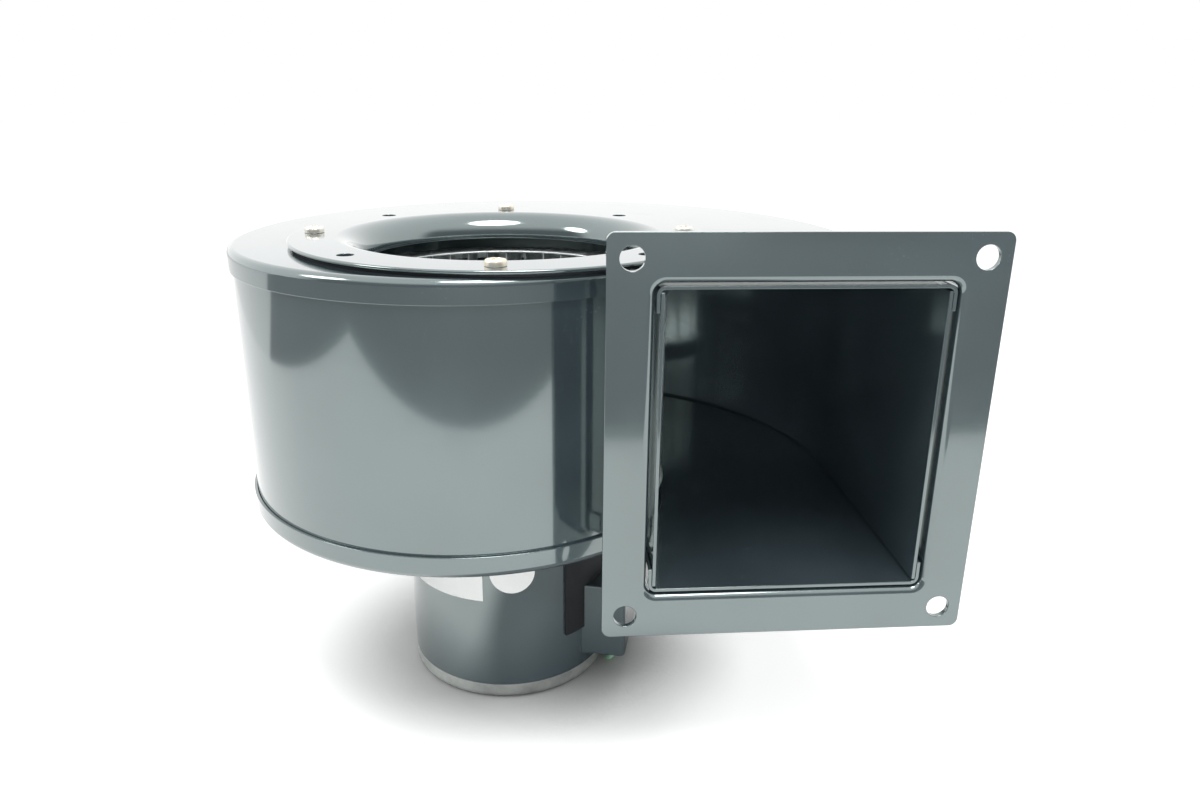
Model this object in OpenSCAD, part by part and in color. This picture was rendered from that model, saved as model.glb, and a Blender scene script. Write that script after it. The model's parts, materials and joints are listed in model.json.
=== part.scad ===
// Direct-current blower fan, in millimetres.
// A sheet scroll housing with a bell-mouthed inlet and a flanged outlet, a forward-curved wheel,
// and the brushed motor that carries the wheel and stands under the housing.
// Z = 0 is the motor's resting face, +Z runs up the shaft to the inlet, and air leaves towards -Y.

/* [Scroll housing] */
// Thickness of the housing's sheet
sheet = 1.2; // [0.9:0.1:1.5]
// Height of the housing over both side plates
housing_h = 106.5; // [102:0.5:112]
// Height of the skirt folded round each side plate
skirt_h = 8.6; // [6:0.1:12]
// Outside radius of the fold between a side plate and its skirt
fold_r = 2.8; // [2.2:0.1:3.4]
// Clearance between a skirt and the wrap inside it
seam_gap = 0.15; // [0.1:0.05:0.3]
// Reach of the side plates in front of the shaft
scroll_front = 82.8; // [82:0.2:88]
// Reach of the side plates to the left of the shaft
scroll_left = 106.7; // [104:0.1:112]
// Reach of the side plates and the duct to the right of the shaft
scroll_right = 145; // [142:0.5:150]
// Distance of both scroll centres behind the shaft
centre_back = 11; // [8:0.5:14]
// Radius of the hollow outside the tongue, between the duct and the scroll
tongue_r = 7; // [5:0.5:8]

/* [Outlet] */
// Outside width of the duct
duct_w = 95.3; // [93:0.1:97]
// Distance from the shaft to the flange's front face
outlet_reach = 95.6; // [94:0.2:104]
// Depth of the duct's end behind the flange's front face
duct_recess = 1; // [0.5:0.1:2]
// Width of the flange
flange_w = 127; // [125:0.5:135]
// Height of the flange
flange_h = 139.7; // [137:0.1:148]
// Thickness of the flange's plate and collar
flange_t = 2; // [1.6:0.1:2.4]
// Corner radius of the flange's plate
flange_corner_r = 3; // [2:0.5:6]
// Clearance between the duct and the flange's collar
flange_fit = 0.8; // [0.3:0.05:0.9]
// Length of the collar behind the flange's front face
collar_len = 12; // [9:0.5:15]
// Radius of the flange's holes
flange_hole_r = 3.97; // [3:0.01:4.2]
// Distance of the flange's holes from both edges
flange_hole_inset = 8; // [7:0.5:8.5]

/* [Inlet ring] */
// Outside radius of the ring
ring_r = 81.8; // [80:0.2:84]
// Thickness of the ring's sheet
ring_t = 1.5; // [1.2:0.1:2]
// Radius of the throat at the bell's lip
throat_r = 54.4; // [51:0.2:56]
// Radius of the bell's roll
bell_r = 10; // [8:0.5:11]
// Thickness of the gasket under the ring
gasket_t = 1; // [0.6:0.1:1.5]
// Distance of the gasket's edge inside the ring's edge
gasket_inset = 1.8; // [1:0.2:3]
// Radius of the opening in the side plate under the ring
inlet_open_r = 68.2; // [67.6:0.1:69]
// Radius of the circle on which the ring's screws and holes lie
ring_bolt_r = 73.2; // [72.6:0.1:75]
// Radius of the ring's open holes
ring_hole_r = 3; // [2.5:0.1:3.4]

/* [Wheel] */
// Radius over the wheel's blades
wheel_r = 66.2; // [63:0.1:66.6]
// Number of blades
blade_count = 40; // [32:1:48]
// Thickness of a blade
blade_t = 0.7; // [0.5:0.1:0.9]
// Depth of the blades from tip to heel, along the radius
blade_depth = 11.2; // [10:0.1:12]
// Radius of a blade's curve
blade_curve_r = 12; // [11.5:0.1:14]
// Distance of the wheel's top below the housing's top
wheel_drop = 14; // [12:0.5:17]
// Distance of the wheel's back plate above the housing's floor
wheel_lift = 5; // [4:0.5:8]
// Thickness of the wheel's rim and back plate
wheel_sheet = 0.9; // [0.7:0.1:1.2]
// Height of the rim's outside band
rim_h = 5; // [3:0.5:8]
// Width of the rim over the blades' ends
rim_w = 9; // [6:0.5:11]
// Clearance between the blades' tips and the rim's band
rim_gap = 0.1; // [0.05:0.05:0.2]
// Outer radius of the dish pressed into the back plate
dish_r = 50; // [46:0.5:52]
// Radius of the dish's flat top
dish_top_r = 27; // [22:0.5:32]
// Height of the dish
dish_h = 12; // [9:0.5:15]
// Radius of the wheel's hub
hub_r = 11; // [10:0.5:13]
// Height of the hub above the back plate
hub_h = 18; // [14:0.5:22]

/* [Motor] */
// Radius of the motor's shell
motor_r = 42.9; // [42:0.1:44]
// Length of the motor from its resting face to the housing
motor_len = 79.6; // [76:0.2:84]
// Wall of the motor's shell
shell_wall = 2.8; // [2.4:0.1:3.2]
// Height of the end cap that the fan stands on
cap_h = 6.6; // [6:0.1:8]
// Radius of the end cap's lower edge
cap_edge_r = 2.5; // [1.5:0.1:3]
// Height of the drive-end bell below the housing
bell_h = 7; // [6:0.5:9]
// Radius of the shaft
shaft_r = 3.97; // [3.5:0.01:4.2]
// Running clearance between the shaft and its bushes
bush_fit = 0.03; // [0.02:0.01:0.06]
// Wall of a bush
bush_wall = 3; // [2.5:0.1:3.4]
// Length of a bush
bush_len = 11; // [9:0.5:11.5]
// Thickness of the magnets
magnet_t = 8.8; // [8:0.1:10]
// Number of slots in the armature's core
slot_count = 12; // [8:1:14]
// Gap between the armature and the magnets
air_gap = 0.7; // [0.5:0.1:1]
// Angle that each magnet covers
magnet_angle = 130; // [110:2:140]
// Radius of the commutator
commutator_r = 11; // [10:0.5:12]
// Length of a new brush
brush_len = 13; // [11:0.5:14]

/* [Terminal box] */
// Angle of the box round the motor, clockwise from the right
box_turn = 13.5; // [8:0.5:20]
// Width of the box along the motor's side
box_w = 44.4; // [40:0.2:48]
// Depth of the box from the motor's shell to its outer face
box_depth = 12.6; // [12:0.1:16]
// Height of the box's floor above the motor's resting face
box_foot = 12.5; // [11.5:0.5:14]
// Height of the box
box_h = 33; // [28:0.5:38]
// Wall of the box
box_wall = 1.2; // [1:0.1:1.6]
// Clearance between the box and the motor's shell
box_fit = 0.1; // [0.05:0.05:0.3]

/* [Leads] */
// Thickness of the twisted pair of leads
lead_d = 6; // [5:0.1:6]
// Hole in the box's floor round the leads
grommet_r = 5; // [4.5:0.1:6]

/* [Hidden] */
$fn = 96;
past = 1;                 // how far a cut runs past the face that it opens
slip = 0.02;              // clearance of a piece pushed onto or into another
fold_relief = 1.2;        // gap in a folded skirt on either side of the tongue
screw_fit = 0.15;         // clearance round a screw's shank
head_curve = 1.6;         // radius of a pan head's dome, as a share of the head's radius
recess_share = 0.22;      // width of a cross recess, as a share of the head's radius

// heights of the housing
floor_z = motor_len;
lid_z = motor_len + housing_h;
mid_z = motor_len + housing_h / 2;

// the scroll's two centres lie on one line, so that both arcs meet smoothly at the left
front_r = scroll_front + centre_back;
front_x = front_r - scroll_left;
back_r = (scroll_left + scroll_right) / 2;
back_x = scroll_right - back_r;
duct_left = scroll_right - duct_w;
duct_end = outlet_reach - duct_recess;

// the wrap's edges sit against the inside of the side plates' folds
wrap_out = sheet + seam_gap;
wrap_in = wrap_out + sheet;
wrap_foot = fold_r + slip - sqrt(pow(fold_r - sheet, 2) - pow(fold_r - wrap_out, 2));

// the tongue's hollow touches the duct's side and the front arc
tongue_x = duct_left - tongue_r;
tongue_y = centre_back - sqrt(pow(front_r + tongue_r, 2) - pow(tongue_x - front_x, 2));
tongue_angle = atan2(centre_back - tongue_y, front_x - tongue_x);

// inlet ring
ring_z = lid_z + gasket_t + ring_t;
roll_x = throat_r + bell_r;
ring_screw_r = 1.95;
ring_screw_len = 9;
ring_head_r = 3.75;
ring_head_h = 2.5;

// wheel
wheel_z = floor_z + sheet + wheel_lift;
wheel_top = lid_z - wheel_drop;
heel_r = wheel_r - blade_depth;
blade_z = wheel_z + wheel_sheet;
blade_len = wheel_top - wheel_sheet - blade_z;
rim_out = wheel_r + rim_gap + wheel_sheet;
hub_z = wheel_z + dish_h + wheel_sheet;
hub_neck_wall = 3;
hub_neck_r = shaft_r + hub_neck_wall;
hub_lip = 1;
set_screw_r = 2;
set_screw_z = hub_z + hub_h / 2;
set_screw_sink = 0.5;
set_screw_out = hub_r - set_screw_sink;
socket_r = 1.1;
socket_depth = 2;
shaft_flat = 0.4;
shaft_flat_len = 10;
shaft_chamfer = 0.8;

// motor
shell_in = motor_r - shell_wall;
shell_top = motor_len - bell_h;
cap_play = 0.25;          // how far the cap's rim lies inside the shell's
cap_r = motor_r - cap_play;
spigot_r = shell_in - slip;
spigot_wall = 2.5;
spigot_len = 4;
card_t = 2.4;
card_fit = 0.1;
card_lift = 9.4;          // height of the brush card above the end cap
card_z = cap_h + card_lift;
bush_r = shaft_r + bush_fit + bush_wall;
bush_seat = 0.5;          // length of a boss that is left past its bush
boss_wall = 3.5;
boss_r = bush_r + boss_wall;
boss_drop = 0.4;          // how far the rear boss stays under the brush card
rear_boss_z = card_z - boss_drop;
rear_bush_z = rear_boss_z - bush_len;
shaft_foot = rear_bush_z + bush_seat;
boss_reach = 6;           // how far the drive-end boss stands up through the housing's floor
drive_boss_z = motor_len + boss_reach;
drive_bush_z = drive_boss_z - bush_len - bush_seat;
shaft_stub = 3;
shaft_top = hub_z + hub_h + shaft_stub;
end_play = 0.3;           // gap between a thrust ring and its bush
thrust_ring_t = 0.8;
thrust_ring_wall = 2.5;
thrust_ring_r = shaft_r + thrust_ring_wall;
commutator_z = rear_boss_z + end_play + thrust_ring_t + end_play;
commutator_len = 14;
bar_gap = 0.6;            // width and depth of the grooves between the bars

// armature and magnets fill the shell between the brush gear and the drive-end bell
magnet_r = spigot_r - magnet_t;
magnet_overhang = 4;      // how far a magnet reaches past each end of the core
armature_r = magnet_r - air_gap;
end_turn_h = 5;
end_turn_wall = 6;
end_turn_in = shaft_r + end_turn_wall;
turn_gap = 3;             // room between an end turn and its neighbour along the shaft
core_gap = 3.6;           // room for an end turn over the commutator
core_z = commutator_z + commutator_len + core_gap;
core_len = shell_top - end_turn_h - turn_gap - core_z;
slot_liner = 0.2;
magnet_len = core_len + 2 * magnet_overhang;
magnet_z = core_z - magnet_overhang;
slot_r = 3.1;
slot_lip = 2.4;
slot_ring_r = armature_r - slot_r - slot_lip;
slot_mouth = 2;

// bolts that draw the end cap, the shell and the drive-end bell together
bolt_r = 2;
bolt_gap = 0.5;           // room between a bolt and the end cap's spigot
bolt_ring_r = spigot_r - spigot_wall - bolt_r - bolt_gap;
bolt_head_r = 3.6;
bolt_head_h = 3;
bolt_head_z = 0.6;
bolt_slot = 1;
bolt_cover = 2;           // metal left over the end of a bolt's hole
bolt_hole_top = motor_len - bolt_cover;
bolt_turn = 30;

// brush gear
brush_w = 6;
brush_h = 9;
brush_play = 0.1;         // running gap between a brush and the commutator's bars
brush_in = commutator_r + brush_play;
brush_back = brush_in + brush_len;
holder_wall = 0.8;
holder_fit = 0.1;
holder_lead = 1.5;
holder_in = commutator_r + holder_lead;
holder_gap = 2.5;         // room between a brush holder and the end cap's spigot
holder_out = spigot_r - spigot_wall - holder_gap;
brush_z = card_z + card_t + holder_wall + holder_fit + brush_h / 2;
spring_wire = 0.7;
spring_r = 2.4;
spring_turns = 5;
spring_play = 0.05;

// screws that hold the motor to the housing's floor
mount_screw_r = 2;
mount_screw_ring = 30;
mount_screw_len = 5;
mount_head_r = 3.8;
mount_head_h = 2.8;
mount_washer_t = 0.8;

// flange
cut_w = duct_w + 2 * flange_fit;
cut_h = housing_h + 2 * flange_fit;
cut_r = fold_r + flange_fit;
duct_mid = scroll_right - duct_w / 2;
flange_fold = 0.5;        // inside radius of the fold into the collar
flange_edge_r = flange_t + flange_fold;
bead_w = 1.6;
bead_len = 9;

// terminal box
box_mid_z = box_foot + box_h / 2;
box_reach = motor_r + box_depth;
box_corner_r = 2;
box_screw_r = 1.5;
box_screw_inset = 8;
box_screw_y = box_w / 2 - box_screw_inset;
box_head_r = 2.8;
box_head_h = 0.7;
box_slot = 0.6;
box_screw_bite = 2;       // length of the screw inside the shell's wall
box_screw_in = sqrt(pow(motor_r, 2) - pow(box_screw_y - box_screw_r, 2)) - box_screw_bite;
wire_hole_r = 4;
wire_hole_drop = 1;       // room between the shell's wire hole and the magnets above it
wire_hole_z = magnet_z - wire_hole_r - wire_hole_drop;
wire_bush_wall = 1.3;
wire_bush_lip = 1;
block_w = 22;
block_h = 8;
block_top_gap = 3;        // room between the terminal block and the box's top
block_z = box_foot + box_h - box_wall - block_h - block_top_gap;
block_hole_r = 1.6;
grommet_lip = 0.8;
grommet_lip_r = grommet_r + 1;
grommet_gap = 0.2;        // room between the grommet's lip and the box's walls
grommet_play = 0.7;       // room round the leads in their grommet
lead_x = box_reach - box_wall - grommet_lip_r - grommet_gap;
lead_y = -(box_w / 2 - box_wall - grommet_lip_r - grommet_gap);

// route of the leads from the box's floor to the coil, along the middle of the pair
lead_route = [
    [43.3, -25.6, 14], [43.3, -25.2, 11.9], [43.5, -24, 9], [43.8, -21.3, 5.8], [44.2, -17.7, 3.7],
    [44.7, -13.7, 3], [45.7, -7, 3], [46.9, 0, 3], [48.1, 7, 3], [49.5, 15, 3],
    [51, 25, 3], [52.4, 35, 3], [53.6, 46, 3], [54.8, 58, 3], [55.6, 70, 3],
    [56, 80, 3], [56, 90, 3]
];
coil_x = 20;
coil_y = 90;
coil_out = 39;
coil_in = 27;

// ---------- outlines ----------

// Plan of the housing, moved in from the skirts' outside by inset; longer runs the duct on.
module housing_plan(inset = 0, longer = 0) {
    side_x = duct_left + inset;
    arc_r = front_r - inset;
    meet_y = centre_back - sqrt(pow(arc_r, 2) - pow(side_x - front_x, 2));
    intersection() {
        translate([front_x, centre_back]) circle(arc_r);
        translate([front_x - arc_r - past, centre_back - arc_r - past])
            square([2 * (arc_r + past), arc_r + past]);
    }
    intersection() {
        translate([back_x, centre_back]) circle(back_r - inset);
        translate([back_x - back_r - past, centre_back]) square([2 * (back_r + past), back_r + past]);
    }
    translate([side_x, -duct_end - longer])
        square([scroll_right - inset - side_x, duct_end + longer + centre_back]);
    difference() {
        polygon([
            [tongue_x, tongue_y],
            [side_x, tongue_y],
            [side_x + past, meet_y],
            [side_x, meet_y + past],
            [tongue_x + (tongue_r + inset) * cos(tongue_angle),
                tongue_y + (tongue_r + inset) * sin(tongue_angle)]
        ]);
        translate([tongue_x, tongue_y]) circle(tongue_r + inset);
    }
}

// Carries a section round the housing's edge: x of the section points outwards from the skirts.
// A fold can't turn round a hollow, so it stops with a relief on either side of the tongue.
module round_the_edge() {
    relief_angle = fold_relief / front_r * 180 / PI;
    translate([front_x, centre_back, 0]) rotate([0, 0, 180])
        rotate_extrude(angle = tongue_angle - relief_angle) translate([front_r, 0]) children();
    translate([back_x, centre_back, 0])
        rotate_extrude(angle = 180) translate([back_r, 0]) children();
    translate([scroll_right, centre_back, 0]) rotate([90, 0, 0])
        linear_extrude(centre_back + duct_end) children();
    translate([duct_left, tongue_y - fold_relief, 0]) rotate([90, 0, 0])
        linear_extrude(duct_end + tongue_y - fold_relief) mirror([1, 0]) children();
}

// The plain edge of a side plate between the two reliefs, round the tongue's hollow.
module tongue_edge_plan() {
    reach = tongue_r + fold_r + 2 * past;
    translate([tongue_x, tongue_y]) intersection() {
        difference() {
            circle(reach);
            circle(tongue_r);
        }
        polygon([
            [0, 0],
            [2 * reach, 0],
            [2 * reach, 2 * reach],
            2 * reach * [cos(tongue_angle), sin(tongue_angle)]
        ]);
    }
}

// Section of a plate's folded edge, with the plate's outer face at y = 0 and the skirt below it.
module fold_section() {
    lap = 2;
    translate([-fold_r - lap, -sheet]) square([lap, sheet]);
    translate([-sheet, -skirt_h]) square([sheet, skirt_h - fold_r]);
    intersection() {
        translate([-fold_r, -fold_r]) difference() {
            circle(fold_r);
            circle(fold_r - sheet);
        }
        translate([-fold_r, -fold_r]) square(fold_r);
    }
}

// A side plate with its outer face up at z = 0, before any opening is cut.
module side_plate() {
    round_the_edge() fold_section();
    translate([0, 0, -sheet]) linear_extrude(sheet) {
        housing_plan(fold_r + past);
        tongue_edge_plan();
    }
}

// Copies a piece to count places round the shaft.
module round_the_shaft(count, radius, start = 0) {
    for (i = [0:count - 1])
        rotate([0, 0, start + i * 360 / count]) translate([radius, 0, 0]) children();
}

module tube(outer, inner, h) {
    difference() {
        cylinder(r = outer, h = h);
        translate([0, 0, -past]) cylinder(r = inner, h = h + 2 * past);
    }
}

// A pan-head screw with its shank down and the head's underside at z = 0.
module pan_screw(shank_r, shank_len, head_r, head_h) {
    recess = head_r * recess_share;
    dome = head_r * head_curve;
    translate([0, 0, -shank_len]) cylinder(r = shank_r, h = shank_len + past / 2);
    difference() {
        rotate_extrude() intersection() {
            square([head_r, head_h]);
            translate([0, head_h - dome]) circle(dome);
        }
        for (a = [0, 90]) rotate([0, 0, a])
            translate([-head_r / 2, -recess / 2, head_h / 2]) cube([head_r, recess, head_h]);
    }
}

// A hexagon screw with a washer face, its shank down and the head's underside at z = 0.
module hex_screw(shank_r, shank_len, head_r, head_h) {
    translate([0, 0, -shank_len]) cylinder(r = shank_r, h = shank_len + mount_washer_t);
    cylinder(r = head_r, h = mount_washer_t);
    cylinder(r = head_r - 0.3, h = head_h, $fn = 6);
}

// ---------- housing ----------

module scroll_wrap() color("darkslategray")
    translate([0, 0, floor_z + wrap_foot]) linear_extrude(housing_h - 2 * wrap_foot) difference() {
        housing_plan(wrap_out);
        housing_plan(wrap_in, past);
    }

module inlet_side_plate() color("slategray")
    translate([0, 0, lid_z]) difference() {
        side_plate();
        translate([0, 0, -sheet - past]) {
            cylinder(r = inlet_open_r, h = sheet + 2 * past);
            round_the_shaft(4, ring_bolt_r) cylinder(r = ring_screw_r + slip, h = sheet + 2 * past);
            round_the_shaft(4, ring_bolt_r, 45) cylinder(r = ring_hole_r, h = sheet + 2 * past);
        }
    }

module motor_side_plate() color("slategray")
    translate([0, 0, floor_z]) difference() {
        mirror([0, 0, 1]) side_plate();
        translate([0, 0, -past]) {
            cylinder(r = boss_r + screw_fit, h = sheet + 2 * past);
            round_the_shaft(4, mount_screw_ring, 45)
                cylinder(r = mount_screw_r + screw_fit, h = sheet + 2 * past);
        }
    }

// Edge of the flange's opening: the plate's front face turns back into the collar.
module collar_section() {
    lap = 2;
    translate([0, flange_edge_r]) square([flange_t, collar_len - flange_edge_r]);
    translate([flange_edge_r, 0]) square([lap, flange_t]);
    intersection() {
        square(flange_edge_r);
        translate([flange_edge_r, flange_edge_r]) difference() {
            circle(flange_edge_r);
            circle(flange_edge_r - flange_t);
        }
    }
}

module collar_side(len) translate([0, 0, -len / 2]) linear_extrude(len) collar_section();

// Two short weld beads in the corner between the collar's end and the duct, on one wide side.
module collar_beads(half_h)
    for (x = [-1, 1]) translate([x * duct_w / 4 + bead_len / 2, half_h, collar_len]) rotate([0, -90, 0])
        linear_extrude(bead_len) {
            translate([-bead_w, -flange_fit]) square([2 * bead_w, flange_fit]);
            difference() {
                translate([-bead_w, -slip]) square([2 * bead_w, bead_w]);
                translate([bead_w, bead_w]) circle(bead_w);
            }
        }

// The flange lies in X and Y here with its front face at z = 0 and the collar along +Z.
module flange_flat() {
    half_w = cut_w / 2;
    half_h = cut_h / 2;
    side_h = cut_h - 2 * cut_r;
    side_w = cut_w - 2 * cut_r;
    for (turn = [0, 180]) rotate([0, 0, turn]) {
        translate([half_w, 0, 0]) rotate([90, 0, 0]) collar_side(side_h);
        rotate([0, 0, 90]) translate([half_h, 0, 0]) rotate([90, 0, 0]) collar_side(side_w);
        translate([half_w - cut_r, half_h - cut_r, 0])
            rotate_extrude(angle = 90) translate([cut_r, 0]) collar_section();
        translate([-half_w + cut_r, half_h - cut_r, 0]) rotate([0, 0, 90])
            rotate_extrude(angle = 90) translate([cut_r, 0]) collar_section();
        collar_beads(half_h);
    }
    difference() {
        linear_extrude(flange_t) difference() {
            round_rectangle(flange_w, flange_h, flange_corner_r);
            round_rectangle(cut_w + 2 * flange_edge_r + past, cut_h + 2 * flange_edge_r + past,
                cut_r + flange_edge_r + past / 2);
        }
        for (x = [-1, 1], y = [-1, 1])
            translate([x * (flange_w / 2 - flange_hole_inset), y * (flange_h / 2 - flange_hole_inset), -past])
                cylinder(r = flange_hole_r, h = flange_t + 2 * past);
    }
}

module round_rectangle(w, h, r) {
    square([w - 2 * r, h], center = true);
    square([w, h - 2 * r], center = true);
    for (x = [-1, 1], y = [-1, 1]) translate([x * (w / 2 - r), y * (h / 2 - r)]) circle(r);
}

module outlet_flange() color("dimgray")
    translate([duct_mid, -outlet_reach, mid_z]) rotate([-90, 0, 0]) flange_flat();

// ---------- inlet ring ----------

module inlet_ring() color("gray") translate([0, 0, ring_z]) difference() {
    rotate_extrude() {
        translate([roll_x - slip, -ring_t]) square([ring_r - ring_t / 2 - roll_x + slip, ring_t]);
        translate([ring_r - ring_t / 2, -ring_t / 2]) circle(ring_t / 2);
        intersection() {
            translate([roll_x, -bell_r]) difference() {
                circle(bell_r);
                circle(bell_r - ring_t);
            }
            translate([roll_x - bell_r, -bell_r]) square(bell_r);
        }
    }
    translate([0, 0, -ring_t - past]) {
        round_the_shaft(4, ring_bolt_r) cylinder(r = ring_screw_r + screw_fit, h = ring_t + 2 * past);
        round_the_shaft(4, ring_bolt_r, 45) cylinder(r = ring_hole_r, h = ring_t + 2 * past);
    }
}

module inlet_ring_gasket() color("black") translate([0, 0, lid_z]) difference() {
    tube(ring_r - gasket_inset, inlet_open_r, gasket_t);
    translate([0, 0, -past]) {
        round_the_shaft(4, ring_bolt_r) cylinder(r = ring_screw_r + screw_fit, h = gasket_t + 2 * past);
        round_the_shaft(4, ring_bolt_r, 45) cylinder(r = ring_hole_r, h = gasket_t + 2 * past);
    }
}

module inlet_ring_screws() color("peru")
    translate([0, 0, ring_z]) round_the_shaft(4, ring_bolt_r)
        pan_screw(ring_screw_r, ring_screw_len, ring_head_r, ring_head_h);

// ---------- wheel ----------

// One blade in plan: an arc that leaves the heel along the radius and leans towards the turn at the tip.
module blade_plan() {
    lean = atan2(blade_curve_r, heel_r);
    intersection() {
        translate([heel_r, -blade_curve_r]) difference() {
            circle(blade_curve_r + blade_t / 2);
            circle(blade_curve_r - blade_t / 2);
        }
        difference() {
            circle(wheel_r);
            circle(heel_r);
        }
        rotate(-lean) translate([heel_r - past, 0]) square([blade_depth + 2 * past, blade_depth]);
    }
}

module wheel_blades() color("silver")
    translate([0, 0, blade_z]) round_the_shaft(blade_count, 0)
        linear_extrude(blade_len) blade_plan();

module wheel_rim() color("lightgray")
    rotate_extrude() {
        translate([wheel_r - rim_w, wheel_top - wheel_sheet])
            square([rim_w + rim_gap + wheel_sheet / 2, wheel_sheet]);
        translate([wheel_r + rim_gap, wheel_top - rim_h])
            square([wheel_sheet, rim_h - wheel_sheet / 2]);
        translate([wheel_r + rim_gap + wheel_sheet / 2, wheel_top - wheel_sheet / 2])
            circle(wheel_sheet / 2);
    }

module wheel_back_plate() color("silver")
    rotate_extrude() translate([0, wheel_z]) polygon([
        [hub_neck_r + slip, dish_h],
        [dish_top_r, dish_h],
        [dish_r, 0],
        [rim_out, 0],
        [rim_out, wheel_sheet],
        [dish_r, wheel_sheet],
        [dish_top_r, dish_h + wheel_sheet],
        [hub_neck_r + slip, dish_h + wheel_sheet]
    ]);

module wheel_hub() color("darkgray") difference() {
    union() {
        translate([0, 0, hub_z]) cylinder(r = hub_r, h = hub_h);
        translate([0, 0, hub_z - wheel_sheet - hub_lip])
            cylinder(r = hub_neck_r, h = wheel_sheet + hub_lip + past);
        translate([0, 0, hub_z - wheel_sheet - hub_lip])
            cylinder(r = hub_neck_r + hub_lip, h = hub_lip);
    }
    translate([0, 0, hub_z - wheel_sheet - hub_lip - past])
        cylinder(r = shaft_r + slip, h = hub_h + wheel_sheet + hub_lip + 2 * past);
    translate([0, 0, set_screw_z]) rotate([0, 90, 0]) cylinder(r = set_screw_r + slip, h = hub_r + past);
}

module hub_set_screw() color("dimgray") translate([0, 0, set_screw_z]) rotate([0, 90, 0]) difference() {
    translate([0, 0, shaft_r - shaft_flat]) cylinder(r = set_screw_r, h = set_screw_out - shaft_r + shaft_flat);
    translate([0, 0, set_screw_out - socket_depth]) cylinder(r = socket_r, h = socket_depth + past, $fn = 6);
}

// ---------- turning parts of the motor ----------

module motor_shaft() color("lightsteelblue") difference() {
    union() {
        translate([0, 0, shaft_foot]) cylinder(r = shaft_r, h = shaft_top - shaft_chamfer - shaft_foot);
        translate([0, 0, shaft_top - shaft_chamfer])
            cylinder(r1 = shaft_r, r2 = shaft_r - shaft_chamfer, h = shaft_chamfer);
    }
    translate([shaft_r - shaft_flat, -shaft_r, set_screw_z - shaft_flat_len / 2])
        cube([shaft_r, 2 * shaft_r, shaft_flat_len]);
}

module armature_core() color("slategray")
    translate([0, 0, core_z]) linear_extrude(core_len) difference() {
        circle(armature_r);
        circle(shaft_r + slip);
        for (i = [0:slot_count - 1]) rotate(i * 360 / slot_count) {
            translate([slot_ring_r, 0]) circle(slot_r);
            translate([slot_ring_r, -slot_mouth / 2]) square([armature_r, slot_mouth]);
        }
    }

// Coil sides fill the slots, and the end turns join them over each face of the core.
module armature_windings() color("chocolate") {
    fill_r = slot_r - slot_liner;
    for (i = [0:slot_count - 1]) rotate([0, 0, i * 360 / slot_count])
        translate([slot_ring_r, 0, core_z - past]) cylinder(r = fill_r, h = core_len + 2 * past);
    for (end = [0, 1]) translate([0, 0, core_z + end * core_len]) mirror([0, 0, 1 - end])
        rotate_extrude() translate([end_turn_in, slip]) {
            reach = slot_ring_r + slot_r + slot_liner - end_turn_in;
            intersection() {
                square([reach, end_turn_h]);
                translate([reach / 2, -reach / 2]) circle(reach / 2 + end_turn_h);
            }
        }
}

module commutator() color("goldenrod") translate([0, 0, commutator_z]) difference() {
    tube(commutator_r, shaft_r + slip, commutator_len);
    round_the_shaft(slot_count, commutator_r, 180 / slot_count)
        translate([-bar_gap, -bar_gap / 2, -past]) cube([bar_gap + past, bar_gap, commutator_len + 2 * past]);
}

module thrust_rings() color("dimgray") {
    for (z = [rear_boss_z + end_play, drive_bush_z - end_play - thrust_ring_t])
        translate([0, 0, z]) tube(thrust_ring_r, shaft_r + slip, thrust_ring_t);
}

// ---------- fixed parts of the motor ----------

module motor_shell() color("black") difference() {
    translate([0, 0, cap_h]) tube(motor_r, shell_in, shell_top - cap_h);
    at_the_box() {
        translate([shell_in - past, 0, wire_hole_z]) rotate([0, 90, 0])
            cylinder(r = wire_hole_r, h = shell_wall + 2 * past);
        for (side = [-1, 1]) translate([box_screw_in - slip, side * box_screw_y, box_mid_z])
            rotate([0, 90, 0]) cylinder(r = box_screw_r + slip, h = motor_r - box_screw_in);
    }
}

module drive_end_bell() color("gray") difference() {
    union() {
        translate([0, 0, shell_top]) cylinder(r = motor_r, h = bell_h);
        translate([0, 0, shell_top - spigot_len]) tube(spigot_r, spigot_r - spigot_wall, spigot_len + past);
        translate([0, 0, shell_top]) cylinder(r = boss_r, h = drive_boss_z - shell_top);
    }
    translate([0, 0, shell_top - past]) cylinder(r = bush_r + slip, h = drive_boss_z - shell_top + 2 * past);
    translate([0, 0, motor_len - mount_screw_len])
        round_the_shaft(4, mount_screw_ring, 45) cylinder(r = mount_screw_r + slip, h = mount_screw_len + past);
    translate([0, 0, shell_top - past])
        round_the_shaft(2, bolt_ring_r, bolt_turn)
            cylinder(r = bolt_r + slip, h = bolt_hole_top - shell_top + past);
}

module rear_end_cap() color("silver") difference() {
    union() {
        rotate_extrude() {
            square([cap_r - cap_edge_r, cap_h]);
            translate([0, cap_edge_r]) square([cap_r, cap_h - cap_edge_r]);
            translate([cap_r - cap_edge_r, cap_edge_r]) circle(cap_edge_r);
        }
        translate([0, 0, cap_h - past]) tube(spigot_r, spigot_r - spigot_wall, card_z - cap_h + past);
        translate([0, 0, cap_h - past]) cylinder(r = boss_r, h = rear_boss_z - cap_h + past);
    }
    translate([0, 0, rear_bush_z]) cylinder(r = bush_r + slip, h = bush_len + past);
    translate([0, 0, -past]) round_the_shaft(2, bolt_ring_r, bolt_turn) {
        cylinder(r = bolt_r + screw_fit, h = cap_h + 2 * past);
        cylinder(r = bolt_head_r + screw_fit, h = bolt_head_z + bolt_head_h + past);
    }
}

module bush(z) color("darkgoldenrod") translate([0, 0, z]) tube(bush_r, shaft_r + bush_fit, bush_len);

module drive_end_bush() bush(drive_bush_z);

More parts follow.
